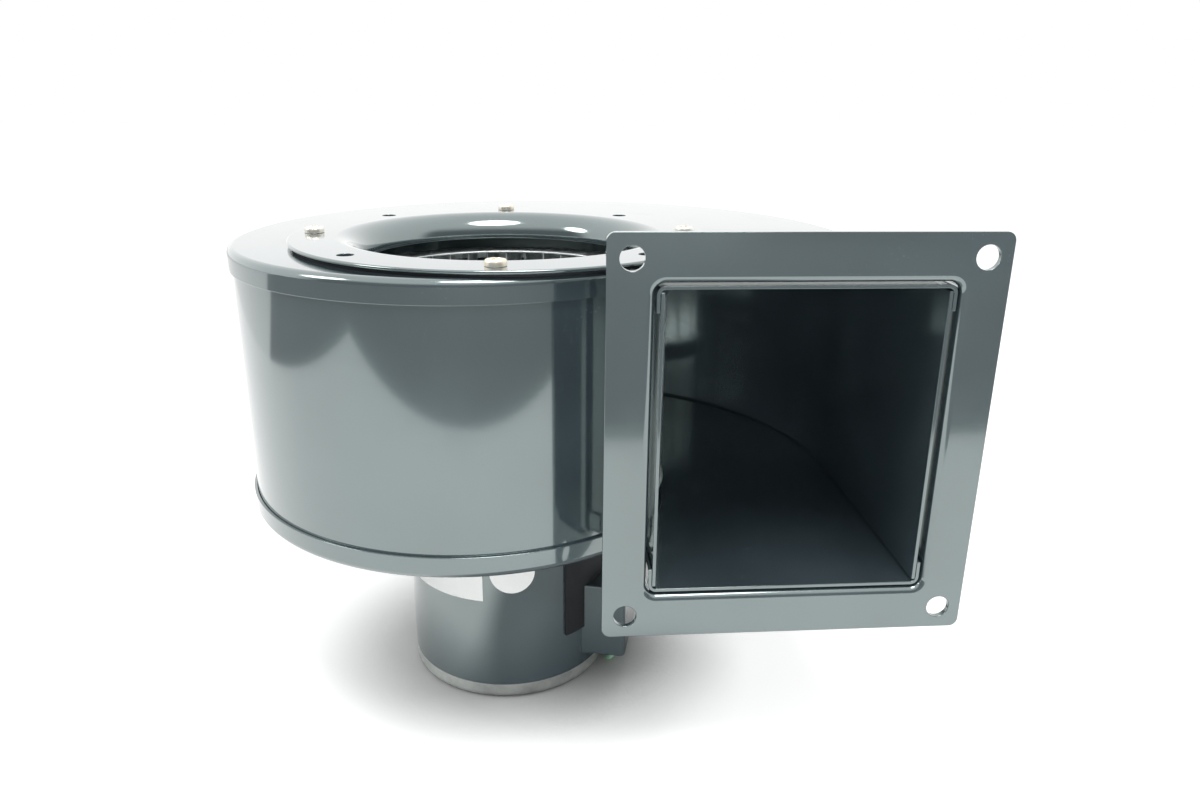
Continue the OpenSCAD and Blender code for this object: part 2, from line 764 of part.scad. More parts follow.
module rear_bush() bush(rear_bush_z);

module field_magnets() color("darkslategray")
    for (turn = [0, 180]) rotate([0, 0, bolt_turn + 90 + turn - magnet_angle / 2])
        translate([0, 0, magnet_z]) rotate_extrude(angle = magnet_angle)
            translate([magnet_r, 0]) square([spigot_r - magnet_r, magnet_len]);

module through_bolts() color("silver")
    round_the_shaft(2, bolt_ring_r, bolt_turn) translate([0, 0, bolt_head_z]) {
        difference() {
            cylinder(r = bolt_head_r, h = bolt_head_h);
            translate([-bolt_head_r, -bolt_slot / 2, -past])
                cube([2 * bolt_head_r, bolt_slot, bolt_slot + past]);
        }
        translate([0, 0, bolt_head_h - slip])
            cylinder(r = bolt_r, h = bolt_hole_top - 0.5 - bolt_head_z - bolt_head_h);
    }

module motor_mount_screws() color("silver")
    translate([0, 0, floor_z + sheet]) round_the_shaft(4, mount_screw_ring, 45)
        hex_screw(mount_screw_r, mount_screw_len, mount_head_r, mount_head_h);

// ---------- brush gear ----------

module brush_card() color("sienna") translate([0, 0, card_z]) difference() {
    tube(spigot_r - card_fit, commutator_r + 2, card_t);
    translate([0, 0, -past]) round_the_shaft(2, bolt_ring_r, bolt_turn)
        cylinder(r = bolt_r + screw_fit, h = card_t + 2 * past);
}

module at_each_brush()
    for (turn = [90, 270]) rotate([0, 0, bolt_turn + turn]) translate([0, 0, brush_z]) children();

module brush_holders() color("gold") at_each_brush() difference() {
    out_w = brush_w + 2 * (holder_fit + holder_wall);
    out_h = brush_h + 2 * (holder_fit + holder_wall);
    translate([holder_in, -out_w / 2, -out_h / 2]) cube([holder_out - holder_in, out_w, out_h]);
    translate([holder_in - past, -out_w / 2 + holder_wall, -out_h / 2 + holder_wall])
        cube([holder_out - holder_in + past - holder_wall, out_w - 2 * holder_wall, out_h - 2 * holder_wall]);
}

// Each brush's face is ground to the commutator's curve.
module carbon_brushes() color("black") at_each_brush() difference() {
    translate([0, -brush_w / 2, -brush_h / 2]) cube([brush_back, brush_w, brush_h]);
    translate([0, 0, -brush_h]) cylinder(r = brush_in, h = 2 * brush_h);
}

module brush_springs() color("silver") at_each_brush() translate([brush_back + spring_play, 0, 0])
    rotate([0, 90, 0]) coil_spring(holder_out - holder_wall - brush_back - 2 * spring_play);

// A compression spring of length len, its wire swept along a helix.
module coil_spring(len) {
    sides = 6;
    steps = spring_turns * 10;
    rise = len - spring_wire;
    ring = [
        for (i = [0:steps]) let (turn = 360 * spring_turns * i / steps, z = spring_wire / 2 + rise * i / steps)
            for (k = [0:sides - 1]) let (a = 360 * k / sides, r = spring_r + spring_wire / 2 * cos(a))
                [r * cos(turn), r * sin(turn), z + spring_wire / 2 * sin(a)]
    ];
    polyhedron(points = ring, faces = tube_faces(steps, sides), convexity = 10);
}

// Faces of a swept tube with its two ends closed.
function tube_faces(steps, sides) = concat(
    [[for (k = [0:sides - 1]) k]],
    [for (i = [0:steps - 1]) for (k = [0:sides - 1]) let (n = (k + 1) % sides)
        [i * sides + k, (i + 1) * sides + k, (i + 1) * sides + n, i * sides + n]],
    [[for (k = [sides - 1:-1:0]) steps * sides + k]]
);

// ---------- terminal box and leads ----------

module at_the_box() rotate([0, 0, -box_turn]) children();

// Plan of the box between the shell and its outer face, moved in by inset.
module box_plan(inset) {
    w = box_w - 2 * inset;
    out = box_reach - inset;
    r = box_corner_r - inset;
    difference() {
        union() {
            translate([0, -w / 2]) square([out - r, w]);
            translate([0, -w / 2 + r]) square([out, w - 2 * r]);
            for (side = [-1, 1]) translate([out - r, side * (w / 2 - r)]) circle(r);
        }
        circle(motor_r + box_fit);
    }
}

// The box's screws at their seats: the head's top at z = 0 and the shank along +Z, into the shell.
module at_each_box_screw()
    at_the_box() for (side = [-1, 1])
        translate([box_reach, side * box_screw_y, box_mid_z]) rotate([0, -90, 0]) children();

module terminal_box() color("dimgray") difference() {
    at_the_box() translate([0, 0, box_foot]) difference() {
        linear_extrude(box_h) box_plan(0);
        translate([0, 0, box_wall]) linear_extrude(box_h - 2 * box_wall) box_plan(box_wall);
        translate([lead_x, lead_y, -past]) cylinder(r = grommet_r, h = box_wall + 2 * past);
    }
    at_each_box_screw() translate([0, 0, -past]) {
        cylinder(r = box_screw_r + screw_fit, h = box_wall + 2 * past);
        cylinder(r = box_head_r + screw_fit, h = box_head_h + past);
    }
}

module terminal_box_screws() color("silver") at_each_box_screw() {
    difference() {
        cylinder(r = box_head_r, h = box_head_h);
        translate([-box_head_r, -box_slot / 2, -past])
            cube([2 * box_head_r, box_slot, past + box_head_h / 2]);
    }
    cylinder(r = box_screw_r, h = box_reach - box_screw_in);
}

module terminal_block() color("ivory") at_the_box() translate([0, 0, block_z]) difference() {
    block_mid = (motor_r + box_reach - box_wall) / 2;
    translate([0, -block_w / 2, 0]) cube([box_reach - box_wall, block_w, block_h]);
    translate([0, 0, -past]) {
        cylinder(r = motor_r + box_fit, h = block_h + 2 * past);
        for (side = [-1, 1]) translate([block_mid, side * block_w / 4, 0])
            cylinder(r = block_hole_r, h = block_h + 2 * past);
    }
}

module shell_grommet() color("black") at_the_box() translate([shell_in - wire_bush_lip, 0, wire_hole_z])
    rotate([0, 90, 0])
        tube(wire_hole_r - slip, wire_hole_r - wire_bush_wall, shell_wall + 3 * wire_bush_lip);

module lead_grommet() color("black") at_the_box() translate([lead_x, lead_y, box_foot]) difference() {
    whole_h = box_wall + 2 * grommet_lip;
    union() {
        translate([0, 0, -grommet_lip]) cylinder(r = grommet_r - slip, h = whole_h);
        for (z = [-grommet_lip, box_wall]) translate([0, 0, z]) cylinder(r = grommet_lip_r, h = grommet_lip);
    }
    translate([0, 0, -grommet_lip - past]) cylinder(r = lead_d / 2 + grommet_play, h = whole_h + 2 * past);
}

function unit(v) = v / norm(v);
function along(points, i) = unit(points[min(i + 1, len(points) - 1)] - points[max(i - 1, 0)]);

module lead_pair() color("green") {
    sides = 8;
    last = len(lead_route) - 1;
    ring = [
        for (i = [0:last]) let (t = along(lead_route, i), side = unit(cross(t, [1, 0, 0])), up = cross(side, t))
            for (k = [0:sides - 1]) let (a = 360 * k / sides)
                lead_route[i] + lead_d / 2 * (cos(a) * side + sin(a) * up)
    ];
    polyhedron(points = ring, faces = tube_faces(last, sides), convexity = 4);
}

module lead_coil() color("green")
    translate([coil_x, coil_y, 0]) rotate_extrude() {
        half = lead_d / 2;
        translate([coil_in + half, half]) circle(half);
        translate([coil_out - half, half]) circle(half);
        translate([coil_in + half, 0]) square([coil_out - coil_in - lead_d, lead_d]);
    }

scroll_wrap();
inlet_side_plate();
motor_side_plate();
outlet_flange();
inlet_ring();
inlet_ring_gasket();
inlet_ring_screws();
wheel_blades();
wheel_rim();
wheel_back_plate();
wheel_hub();
hub_set_screw();
motor_shaft();
armature_core();
armature_windings();
commutator();
thrust_rings();
motor_shell();
drive_end_bell();
rear_end_cap();
drive_end_bush();
rear_bush();
field_magnets();
brush_card();
brush_holders();
carbon_brushes();
brush_springs();
through_bolts();
motor_mount_screws();
terminal_box();
terminal_box_screws();
terminal_block();
shell_grommet();
lead_grommet();
lead_pair();
lead_coil();
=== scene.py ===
"""Direct-current blower fan: the looks of its folded sheet housing, wheel, motor, terminal box and leads.

Sizes are in metres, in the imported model's frame: Z runs up the shaft, and air leaves towards -Y.
"""

import json
import math

import bpy
import numpy as np
from bpy.props import FloatProperty, FloatVectorProperty, IntProperty, PointerProperty
from mathutils import Matrix, Vector
from mathutils.geometry import delaunay_2d_cdt


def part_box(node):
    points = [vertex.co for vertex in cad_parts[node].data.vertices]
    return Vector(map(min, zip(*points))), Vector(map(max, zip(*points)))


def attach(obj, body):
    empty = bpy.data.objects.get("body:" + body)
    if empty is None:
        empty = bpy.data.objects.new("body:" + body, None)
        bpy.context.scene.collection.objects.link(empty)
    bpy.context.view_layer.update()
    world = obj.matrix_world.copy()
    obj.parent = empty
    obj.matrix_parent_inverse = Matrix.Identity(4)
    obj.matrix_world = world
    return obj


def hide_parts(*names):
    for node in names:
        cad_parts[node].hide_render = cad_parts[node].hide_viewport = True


bl_info = {
    "name": "Blower Fan",
    "version": (1, 0, 0),
    "blender": (4, 5, 0),
    "location": "View3D > Sidebar > Blower",
    "description": "Builds a centrifugal blower with a scroll housing and a direct-current motor",
    "category": "Add Mesh",
}

MM = 0.001
WELD = 2e-7  # points nearer than this are one
SCREW_COUNT = 4
FULL_TURN = 2 * math.pi
X_AXIS = np.array([1.0, 0.0, 0.0])
Y_AXIS = np.array([0.0, 1.0, 0.0])
Z_AXIS = np.array([0.0, 0.0, 1.0])

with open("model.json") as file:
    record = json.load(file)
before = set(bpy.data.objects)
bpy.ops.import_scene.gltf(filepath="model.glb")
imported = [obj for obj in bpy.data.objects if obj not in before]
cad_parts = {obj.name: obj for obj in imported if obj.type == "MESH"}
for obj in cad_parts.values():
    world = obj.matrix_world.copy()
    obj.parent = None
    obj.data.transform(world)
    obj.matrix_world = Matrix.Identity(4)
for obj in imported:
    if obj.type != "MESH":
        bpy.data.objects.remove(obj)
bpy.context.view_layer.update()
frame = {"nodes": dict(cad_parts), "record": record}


def node_box(node):
    """Lowest and highest corner of a node, as arrays."""
    low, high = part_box(node)
    return np.array(low), np.array(high)


# Places that the frame gives
PLATE_LOW, PLATE_HIGH = node_box("inlet_side_plate")
FLOOR_Z = node_box("motor_side_plate")[0][2]
LID_Z = PLATE_HIGH[2]
FLANGE_LOW, FLANGE_HIGH = node_box("outlet_flange")
RING_HIGH = node_box("inlet_ring")[1]
WRAP_LOW, WRAP_HIGH = node_box("scroll_wrap")
SHELL_LOW, SHELL_HIGH = node_box("motor_shell")
BLADES_LOW, BLADES_HIGH = node_box("wheel_blades")
RIM_LOW, RIM_HIGH = node_box("wheel_rim")


# ---------------------------------------------------------------- sizes and colours


def size(name, description, default, low=0.0, high=0.5):
    """A length that a user can set."""
    return FloatProperty(
        name=name, description=description, default=default, min=low, max=high, unit="LENGTH", precision=5
    )


def tint(name, description, default):
    """A colour that a user can set."""
    return FloatVectorProperty(
        name=name, description=description, default=default, size=3, min=0, max=1, subtype="COLOR"
    )


def share(name, description, default, high=1.0):
    """A plain number from nought up."""
    return FloatProperty(
        name=name, description=description, default=default, min=0, max=high, subtype="FACTOR"
    )


def angle(name, description, degrees):
    """An angle that a user can set."""
    return FloatProperty(name=name, description=description, default=math.radians(degrees), subtype="ANGLE")


def power(name, description, default):
    """A lamp's power."""
    return FloatProperty(name=name, description=description, default=default, min=0, unit="POWER")


class BLOWER_PG_housing(bpy.types.PropertyGroup):
    """Sizes of the scroll housing."""

    sheet: size("Sheet", "Thickness of the housing's sheet", 1.2 * MM)
    skirt: size("Skirt", "Height of the side plates' folded skirts", 8.6 * MM)
    fold: size("Fold", "Outside radius of the folds", 2.8 * MM)
    seam: size("Seam", "Gap between a skirt and the scroll's wall", 0.15 * MM)
    front_x: size("Front centre X", "Centre of the front arc, across", -12.9 * MM, low=-0.5)
    back_x: size("Back centre X", "Centre of the back arc, across", 19.15 * MM)
    centre_y: size("Centre Y", "Line on which both arcs' centres lie", 11 * MM)
    duct_width: size("Duct width", "Width of the duct over the skirts", 95.3 * MM)
    tongue: size("Tongue", "Radius of the hollow between the scroll and the duct", 7 * MM)
    relief: size("Relief", "Notch at the end of a fold beside the tongue", 1.2 * MM)
    notch: size("Notch", "How far the notch reaches past the fold", 1 * MM)
    inlet: size("Inlet", "Radius of the inlet opening in the upper plate", 68.2 * MM)
    boss_hole: size("Boss hole", "Radius of the hole round the motor's boss", 10.65 * MM)
    cut_edge: size("Cut edge", "Rounding of a sheet's cut edges", 0.22 * MM)


class BLOWER_PG_flange(bpy.types.PropertyGroup):
    """Sizes of the outlet flange."""

    thickness: size("Thickness", "Thickness of the plate", 2 * MM)
    corner: size("Corner", "Corner radius of the plate", 3 * MM)
    clearance: size("Clearance", "Gap between the collar and the duct", 0.8 * MM)
    fold: size("Fold", "Outside radius of the collar's fold", 2.5 * MM)
    hole: size("Hole", "Radius of the bolt holes", 3.97 * MM)
    inset: size("Inset", "Distance of the holes from the edges", 8 * MM)
    bead: size("Bead", "Width of the weld beads behind the collar", 1.6 * MM)
    bead_length: size("Bead length", "Length of a weld bead", 5 * MM)


class BLOWER_PG_ring(bpy.types.PropertyGroup):
    """Sizes of the bell-mouthed inlet ring and its screws."""

    thickness: size("Thickness", "Thickness of the ring", 1.5 * MM)
    roll: size("Roll", "Radius of the bell's roll", 10 * MM)
    bolt_circle: size("Bolt circle", "Radius on which holes and screws lie", 73.2 * MM)
    hole: size("Hole", "Radius of the open holes", 3 * MM)
    head: size("Head", "Radius of a screw's head", 3.75 * MM)
    head_height: size("Head height", "Height of a screw's head", 2.5 * MM)
    recess: size("Recess", "Depth of the cross recess", 1.5 * MM)


class BLOWER_PG_wheel(bpy.types.PropertyGroup):
    """Sizes of the forward-curved wheel."""

    blades: IntProperty(name="Blades", description="Number of blades", default=40, min=12, max=80)
    blade_sheet: size("Blade sheet", "Thickness of a blade", 0.7 * MM)
    blade_depth: size("Blade depth", "Depth of a blade along the radius", 11.2 * MM)
    blade_curve: size("Blade curve", "Radius of a blade's curve", 12 * MM)
    rim_sheet: size("Rim sheet", "Thickness of the rim", 0.9 * MM)
    rim_width: size("Rim width", "Width of the rim over the blades' ends", 11.5 * MM)
    tab_width: size("Tab width", "Width of a blade's clinched tab", 4 * MM)
    tab_height: size("Tab height", "How far a clinched tab stands up", 0.45 * MM)


class BLOWER_PG_motor(bpy.types.PropertyGroup):
    """Sizes of the motor's outside and its terminal box."""

    wall: size("Wall", "Wall of the shell", 2.8 * MM)
    edge: size("Edge", "Rounding of the shell's ends", 0.35 * MM)
    box_turn: angle("Box turn", "Turn of the terminal box round the motor", -13.5)
    box_width: size("Box width", "Width of the terminal box", 44.4 * MM)
    box_reach: size("Box reach", "Distance of the box's outer face from the shaft", 55.5 * MM)
    box_corner: size("Box corner", "Radius of the box's upright corners", 2 * MM)
    box_edge: size("Box edge", "Rounding of the box's upper and lower edges", 0.7 * MM)
    # The dark band round the box is a painted dark reflection on the shell
    pad_spread: angle("Pad spread", "Half of the angle that the pad under the box covers", 43.8)
    pad_sheet: size("Pad sheet", "Thickness of the rubber pad under the box", 1.2 * MM)
    pad_foot: size("Pad foot", "Height of the pad's lower edge above the floor", 25.5 * MM)


class BLOWER_PG_leads(bpy.types.PropertyGroup):
    """Sizes of the twisted pair of leads."""

    diameter: size("Diameter", "Width of the twisted pair", 6 * MM)
    twist: size("Twist", "Length of one full twist", 21 * MM)
    length: size("Length", "Whole length of the pair", 450 * MM, high=2)
    coil_x: size("Coil X", "Middle of the coil, across", 20 * MM)
    coil_y: size("Coil Y", "Middle of the coil, along", 90 * MM)
    coil_radius: size("Coil radius", "Radius of the outer turn's centre-line", 36 * MM)
    bared: size("Bared end", "Length of bared wire at each lead's end", 7 * MM)


class BLOWER_PG_finish(bpy.types.PropertyGroup):
    """Colours of the finishes."""

    black_enamel: tint("Enamel", "Black gloss enamel", (0.046, 0.064, 0.075))
    zinc_plate: tint("Zinc", "Plain zinc plating", (0.80, 0.84, 0.81))
    yellow_zinc: tint("Yellow zinc", "Passivated plating of the screws", (0.90, 0.82, 0.68))
    galvanised_steel: tint("Galvanised", "Galvanised wheel", (0.86, 0.90, 0.90))
    bright_steel: tint("Steel", "Bright steel", (0.58, 0.59, 0.60))
    turned_aluminium: tint("Aluminium", "Turned aluminium", (0.76, 0.76, 0.77))
    cast_alloy: tint("Cast alloy", "Cast end bell", (0.50, 0.51, 0.52))
    core_steel: tint("Core", "Varnished core plates", (0.20, 0.19, 0.19))
    copper: tint("Copper", "Copper of windings and bars", (0.72, 0.38, 0.22))
    bronze: tint("Bronze", "Sintered bronze", (0.56, 0.38, 0.19))
    brass: tint("Brass", "Brush holders", (0.78, 0.60, 0.30))
    rubber: tint("Rubber", "Gasket, pad and grommets", (0.010, 0.011, 0.013))
    ferrite: tint("Ferrite", "Magnets", (0.085, 0.085, 0.09))
    laminate: tint("Laminate", "Brush card", (0.36, 0.20, 0.09))
    carbon: tint("Carbon", "Brushes", (0.035, 0.035, 0.037))
    moulded_block: tint("Block", "Moulded terminal block", (0.74, 0.71, 0.62))
    green_insulation: tint("Green", "Insulation of the leads", (0.25, 0.47, 0.32))
    blank_label: tint("Blank label", "Bare paper label", (0.86, 0.87, 0.86))
    cable_tie: tint("Tie", "Cable tie", (0.66, 0.68, 0.64))


class BLOWER_PG_stage(bpy.types.PropertyGroup):
    """Floor, light and camera."""

    lens: FloatProperty(
        name="Lens", description="Focal length on a 36 mm sensor", default=27.29, unit="CAMERA"
    )
    pitch: angle("Pitch", "Camera's look down", 18.777)
    yaw: angle("Yaw", "Camera's look aside", 4.46)
    roll: angle("Roll", "Camera's roll", 0.607)
    place: FloatVectorProperty(
        name="Place", description="Camera's place", default=(0.0113, -0.3667, 0.2424), size=3, unit="LENGTH"
    )
    sky: share("Sky", "Strength of the light from all round", 0.5, high=4)
    lamp: power("Lamp", "Power of each soft light overhead", 9)
    front_lamp: power("Front lamp", "Power of the even light in front", 8)
    white_front: size("White front", "Where the white floor ends in front", -0.445, low=-2)
    white_left: size("White left", "Where the white floor ends at the left", -0.6, low=-2)
    white_behind: size("White behind", "Where the floor past its left end is white again", 0.14, low=-2)
    dim: share("Dim", "Level of what the gloss mirrors past the white floor", 0.21)
    shade_x: size("Shade X", "Middle of the shade beside the motor, across", 0.06, low=-1)
    shade_y: size("Shade Y", "Middle of the shade beside the motor, along", -0.09, low=-1)
    shade_radius: size("Shade radius", "Reach of the shade that the gloss mirrors beside the motor", 0.115)


GROUPS = {
    "housing": BLOWER_PG_housing,
    "flange": BLOWER_PG_flange,
    "ring": BLOWER_PG_ring,
    "wheel": BLOWER_PG_wheel,
    "motor": BLOWER_PG_motor,
    "leads": BLOWER_PG_leads,
    "finish": BLOWER_PG_finish,
    "stage": BLOWER_PG_stage,
}


def sizes(group):
    """The scene's values of one group."""
    return getattr(bpy.context.scene, "blower_" + group)


# ---------------------------------------------------------------- lines and arcs
#
# A stroke is a pair of arrays: points in a plane, and the unit normals on the right of the way that it runs.
# A closed shape that runs anticlockwise has its normals outwards; a hole runs clockwise.


def line(start, end, steps=1):
    """Points from start to end in equal steps; the normal is the direction turned right."""
    t = np.linspace(0, 1, steps + 1)[:, None]
    start, end = np.array(start, float), np.array(end, float)
    way = (end - start) / np.linalg.norm(end - start)
    normal = np.array([way[1], -way[0]])
    return start + t * (end - start), np.broadcast_to(normal, (steps + 1, 2))


def arc(centre, radius, start, end, steps=None):
    """centre + radius (cos a, sin a), a from start to end in degrees; the normal points out if a grows."""
    steps = steps or max(4, math.ceil(abs(end - start) / 360 * arc_steps(radius)))
    a = np.radians(np.linspace(start, end, steps + 1))
    spoke = np.stack([np.cos(a), np.sin(a)], 1)
    return np.array(centre, float) + radius * spoke, spoke * (1 if end > start else -1)


def arc_steps(radius):
    """Steps of a full turn whose chords stay within 0.01 mm of the arc, between 32 and 360."""
    return int(np.clip(math.pi / math.sqrt(2 * 0.01 * MM / max(radius, 0.02 * MM)), 32, 360))


def round_rectangle(width, height, radius, centre=(0, 0)):
    """Strokes of a rectangle with round corners, anticlockwise from its right side."""
    x, y = width / 2 - radius, height / 2 - radius
    strokes = []
    for quarter, (cx, cy) in enumerate([(x, y), (-x, y), (-x, -y), (x, -y)]):
        corner = arc((cx + centre[0], cy + centre[1]), radius, 90 * quarter, 90 * quarter + 90)
        strokes.append(corner)
    joined = []
    for stroke, following in zip(strokes, strokes[1:] + strokes[:1]):
        joined += [stroke, line(stroke[0][-1], following[0][0])]
    return joined


def hole(centre, radius):
    """A round hole's stroke, clockwise."""
    return [arc(centre, radius, 360, 0)]


def loop(strokes, inset=0.0):
    """The closed outline of some strokes, each point moved against its normal by inset."""
    points = np.concatenate([p - n * inset for p, n in strokes])
    apart = np.linalg.norm(points - np.roll(points, 1, axis=0), axis=1) > WELD
    return points[apart]


def bar_section(x0, x1, y0, y1, edge):
    """Strokes of a rectangle between two corners with its edges rounded, anticlockwise."""
    return round_rectangle(x1 - x0, y1 - y0, edge, ((x0 + x1) / 2, (y0 + y1) / 2))


def cut_edge_section(low, high, edge):
    """Strokes of a plate's edge from its lower to its upper face, with x = 0 at the outside."""
    return [
        arc((-edge, low + edge), edge, -90, 0, 5),
        line((0, low + edge), (0, high - edge)),
        arc((-edge, high - edge), edge, 0, 90, 5),
    ]


# ---------------------------------------------------------------- surfaces


class Plane:
    """Where a flat drawing lies: its origin, the ways of its x and y, and the way up from it."""

    def __init__(self, origin, across=X_AXIS, along=Y_AXIS, up=Z_AXIS):
        self.origin = np.array(origin, float)
        self.across, self.along, self.up = across, along, up

    def place(self, points, height=0.0):
        """origin + x across + y along + height up."""
        return self.origin + points[..., :1] * self.across + points[..., 1:2] * self.along + height * self.up

    def turn(self, normals):
        """A direction in the drawing as a direction in space."""
        return normals[..., :1] * self.across + normals[..., 1:2] * self.along


class Skin:
    """Gathers grids and flat faces with their exact normals, and makes one welded mesh of them."""

    def __init__(self):
        self.points, self.normals, self.faces, self.marks = [], [], [], []
        self.count = 0

    def triangles(self, points, normals, faces, mark=0):
        """Adds triangles whose corners have these points and normals; mark is their material."""
        self.points.append(points)
        self.normals.append(normals)
        self.faces.append(faces + self.count)
        self.marks.append(np.full(len(faces), mark))
        self.count += len(points)

    def grid(self, points, normals, mark=0):
        """Adds a grid of points shaped (rows, columns, 3), each cell as two triangles."""
        rows, columns = points.shape[:2]
        index = np.arange(rows * columns).reshape(rows, columns)
        a, b, c, d = index[:-1, :-1], index[1:, :-1], index[1:, 1:], index[:-1, 1:]
        faces = np.concatenate([np.stack(half, -1).reshape(-1, 3) for half in ((a, b, c), (a, c, d))])
        normals = np.broadcast_to(normals, points.shape)
        self.triangles(points.reshape(-1, 3), normals.reshape(-1, 3), faces, mark)

    def carry(self, path, section, plane, ends=0.0):
        """P(s, t) = path(s) + x(t) n(s) + y(t) up: a section carried along a flat path, its x on the normal.

        ends rounds both ends of the path by that radius and closes them with a flat face.
        """
        for stroke, (places, ways) in enumerate(path):
            places = places.copy()
            closed = []
            for wanted, at, inner in ((stroke == 0, 0, 1), (stroke == len(path) - 1, -1, -2)):
                if wanted and ends:
                    way = unit(places[at] - places[inner])
                    places[at] -= way * ends
                    closed.append((at, way))
            for points, normals in section:
                out = plane.turn(ways)[:, None]
                grid = plane.place(places)[:, None] + points[None, :, :1] * out
                lean = normals[None, :, :1] * out + normals[None, :, 1:] * plane.up
                self.grid(grid + points[None, :, 1:] * plane.up, lean)
            for at, way in closed:
                self.round_end(places[at], ways[at], way, section, plane, ends)

    def round_end(self, place, out, way, section, plane, radius):
        """Closes a section: at angle a it has moved radius sin a on, and radius (1 - cos a) in."""
        a = np.radians(np.linspace(0, 90, 6))[:, None, None]
        forward = plane.turn(way)
        aside = plane.turn(out)
        for points, normals in section:
            moved = points - normals * radius * (1 - np.cos(a))
            lean = normals[..., :1] * aside + normals[..., 1:] * plane.up
            grid = plane.place(place) + moved[..., :1] * aside + moved[..., 1:] * plane.up
            self.grid(grid + radius * np.sin(a) * forward, lean * np.cos(a) + forward * np.sin(a))
        face = Plane(plane.place(place) + radius * forward, aside, plane.up, forward)
        self.fill([loop(section, radius)], face, 0, 1)

    def revolve(self, section, origin, steps=None):
        """P(a, t) = origin + x(t) (cos a, sin a) + z(t) up, all the way round the upright through origin."""
        reach = max(points[:, 0].max() for points, _ in section)
        steps = steps or arc_steps(reach)
        a = np.linspace(0, FULL_TURN, steps + 1)
        spoke = np.stack([np.cos(a), np.sin(a)], 1)
        self.carry([(spoke * 0, spoke)], section, Plane(origin))

    def fill(self, loops, plane, height, facing):
        """A flat face in its first outline, which the others cut holes in; facing is +1 for up."""
        flat = np.concatenate(loops)
        starts = np.cumsum([0] + [len(points) for points in loops])
        ahead = np.concatenate([np.roll(np.arange(a, b), -1) for a, b in zip(starts, starts[1:])])
        edges = list(zip(range(len(flat)), ahead.tolist()))
        found = delaunay_2d_cdt([Vector(p) for p in (flat / MM).tolist()], edges, [], 0, 1e-6)
        points = np.array([tuple(p) for p in found[0]]) * MM
        faces = np.array(found[2])
        faces = faces[between(points[faces].mean(1), flat, flat[ahead])]
        normals = np.broadcast_to(plane.up * facing, (len(points), 3))
        self.triangles(plane.place(points, height), normals, faces)

    def sheet(self, outer, holes, plane, low, high, edge):
        """The two faces of a plate inside an outline, and its holes with their rounded edges."""
        for strokes in holes:
            self.carry(strokes, cut_edge_section(low, high, edge), plane)
        loops = outer + [loop(strokes, edge) for strokes in holes]
        self.fill(loops, plane, low, -1)
        self.fill(loops, plane, high, 1)

    def make(self, name, body, slot, replaces=(), finishes=()):
        """Welds what was gathered into one piece, parents it to its body's empty and hides the nodes that it
        stands for.

        Its faces are turned the way of their normals. Its finish is the slot's, if no others are named.
        """
        points, normals = np.concatenate(self.points), np.concatenate(self.normals)
        faces, marks = np.concatenate(self.faces), np.concatenate(self.marks)
        cells = np.round(points / WELD).astype(np.int64)
        _, first, where = np.unique(cells, axis=0, return_index=True, return_inverse=True)
        where = where.reshape(-1)
        welded = points[first]
        corners = where[faces]
        whole = (corners != np.roll(corners, 1, axis=1)).all(1)
        faces, corners, marks = faces[whole], corners[whole], marks[whole]
        a, b, c = (welded[corners[:, i]] for i in range(3))
        inside_out = np.einsum("ij,ij->i", np.cross(b - a, c - a), normals[faces].sum(1)) < 0
        faces[inside_out], corners[inside_out] = faces[inside_out, ::-1], corners[inside_out, ::-1]
        mesh = bpy.data.meshes.new(name)
        mesh.from_pydata(welded.tolist(), [], corners.tolist())
        mesh.polygons.foreach_set("use_smooth", np.ones(len(corners), bool))
        mesh.polygons.foreach_set("material_index", marks.astype(np.int32))
        mesh.normals_split_custom_set(unit(normals[faces].reshape(-1, 3)).tolist())
        for finish in finishes or [slot]:
            mesh.materials.append(finish_of(finish))
        piece = bpy.data.objects.new(name, mesh)
        bpy.context.scene.collection.objects.link(piece)
        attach(piece, body)
        if replaces:
            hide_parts(*replaces)
        return piece


def unit(v):
    """v at length 1, row by row."""
    return v / np.linalg.norm(v, axis=-1, keepdims=True)


def between(points, starts, ends):
    """True for points with an odd number of the outlines' edges to their right."""
    x, y = points[:, 0, None], points[:, 1, None]
    crosses = (starts[:, 1] > y) != (ends[:, 1] > y)
    rise = np.where(ends[:, 1] == starts[:, 1], 1, ends[:, 1] - starts[:, 1])
    at = starts[:, 0] + (y - starts[:, 1]) / rise * (ends[:, 0] - starts[:, 0])
    return (crosses & (x < at)).sum(1) % 2 == 1


# ---------------------------------------------------------------- shader maths


class Wire:
    """A node's output socket on which Python's operators add Math nodes."""

    def __init__(self, paint, socket):
        self.paint, self.socket = paint, socket

    def math(self, operation, *others):
        """One Math node on this value and the others."""
        return self.paint.maths(operation, self, *others)

    def __add__(self, other):
        return self.math("ADD", other)

    def __radd__(self, other):
        return self.paint.maths("ADD", other, self)

    def __sub__(self, other):
        return self.math("SUBTRACT", other)

    def __rsub__(self, other):
        return self.paint.maths("SUBTRACT", other, self)

    def __mul__(self, other):
        return self.math("MULTIPLY", other)

    def __rmul__(self, other):
        return self.paint.maths("MULTIPLY", other, self)

    def __pow__(self, other):
        return self.math("POWER", other)

    def step(self, low, high):
        """0 below low, 1 above high, smooth between."""
        inputs = {"Value": self, "From Min": low, "From Max": high}
        return self.paint.wire("ShaderNodeMapRange", 0, {"interpolation_type": "SMOOTHSTEP"}, inputs)

    def clamp(self):
        """Held between 0 and 1."""
        return self.math("MAXIMUM", 0.0).math("MINIMUM", 1.0)


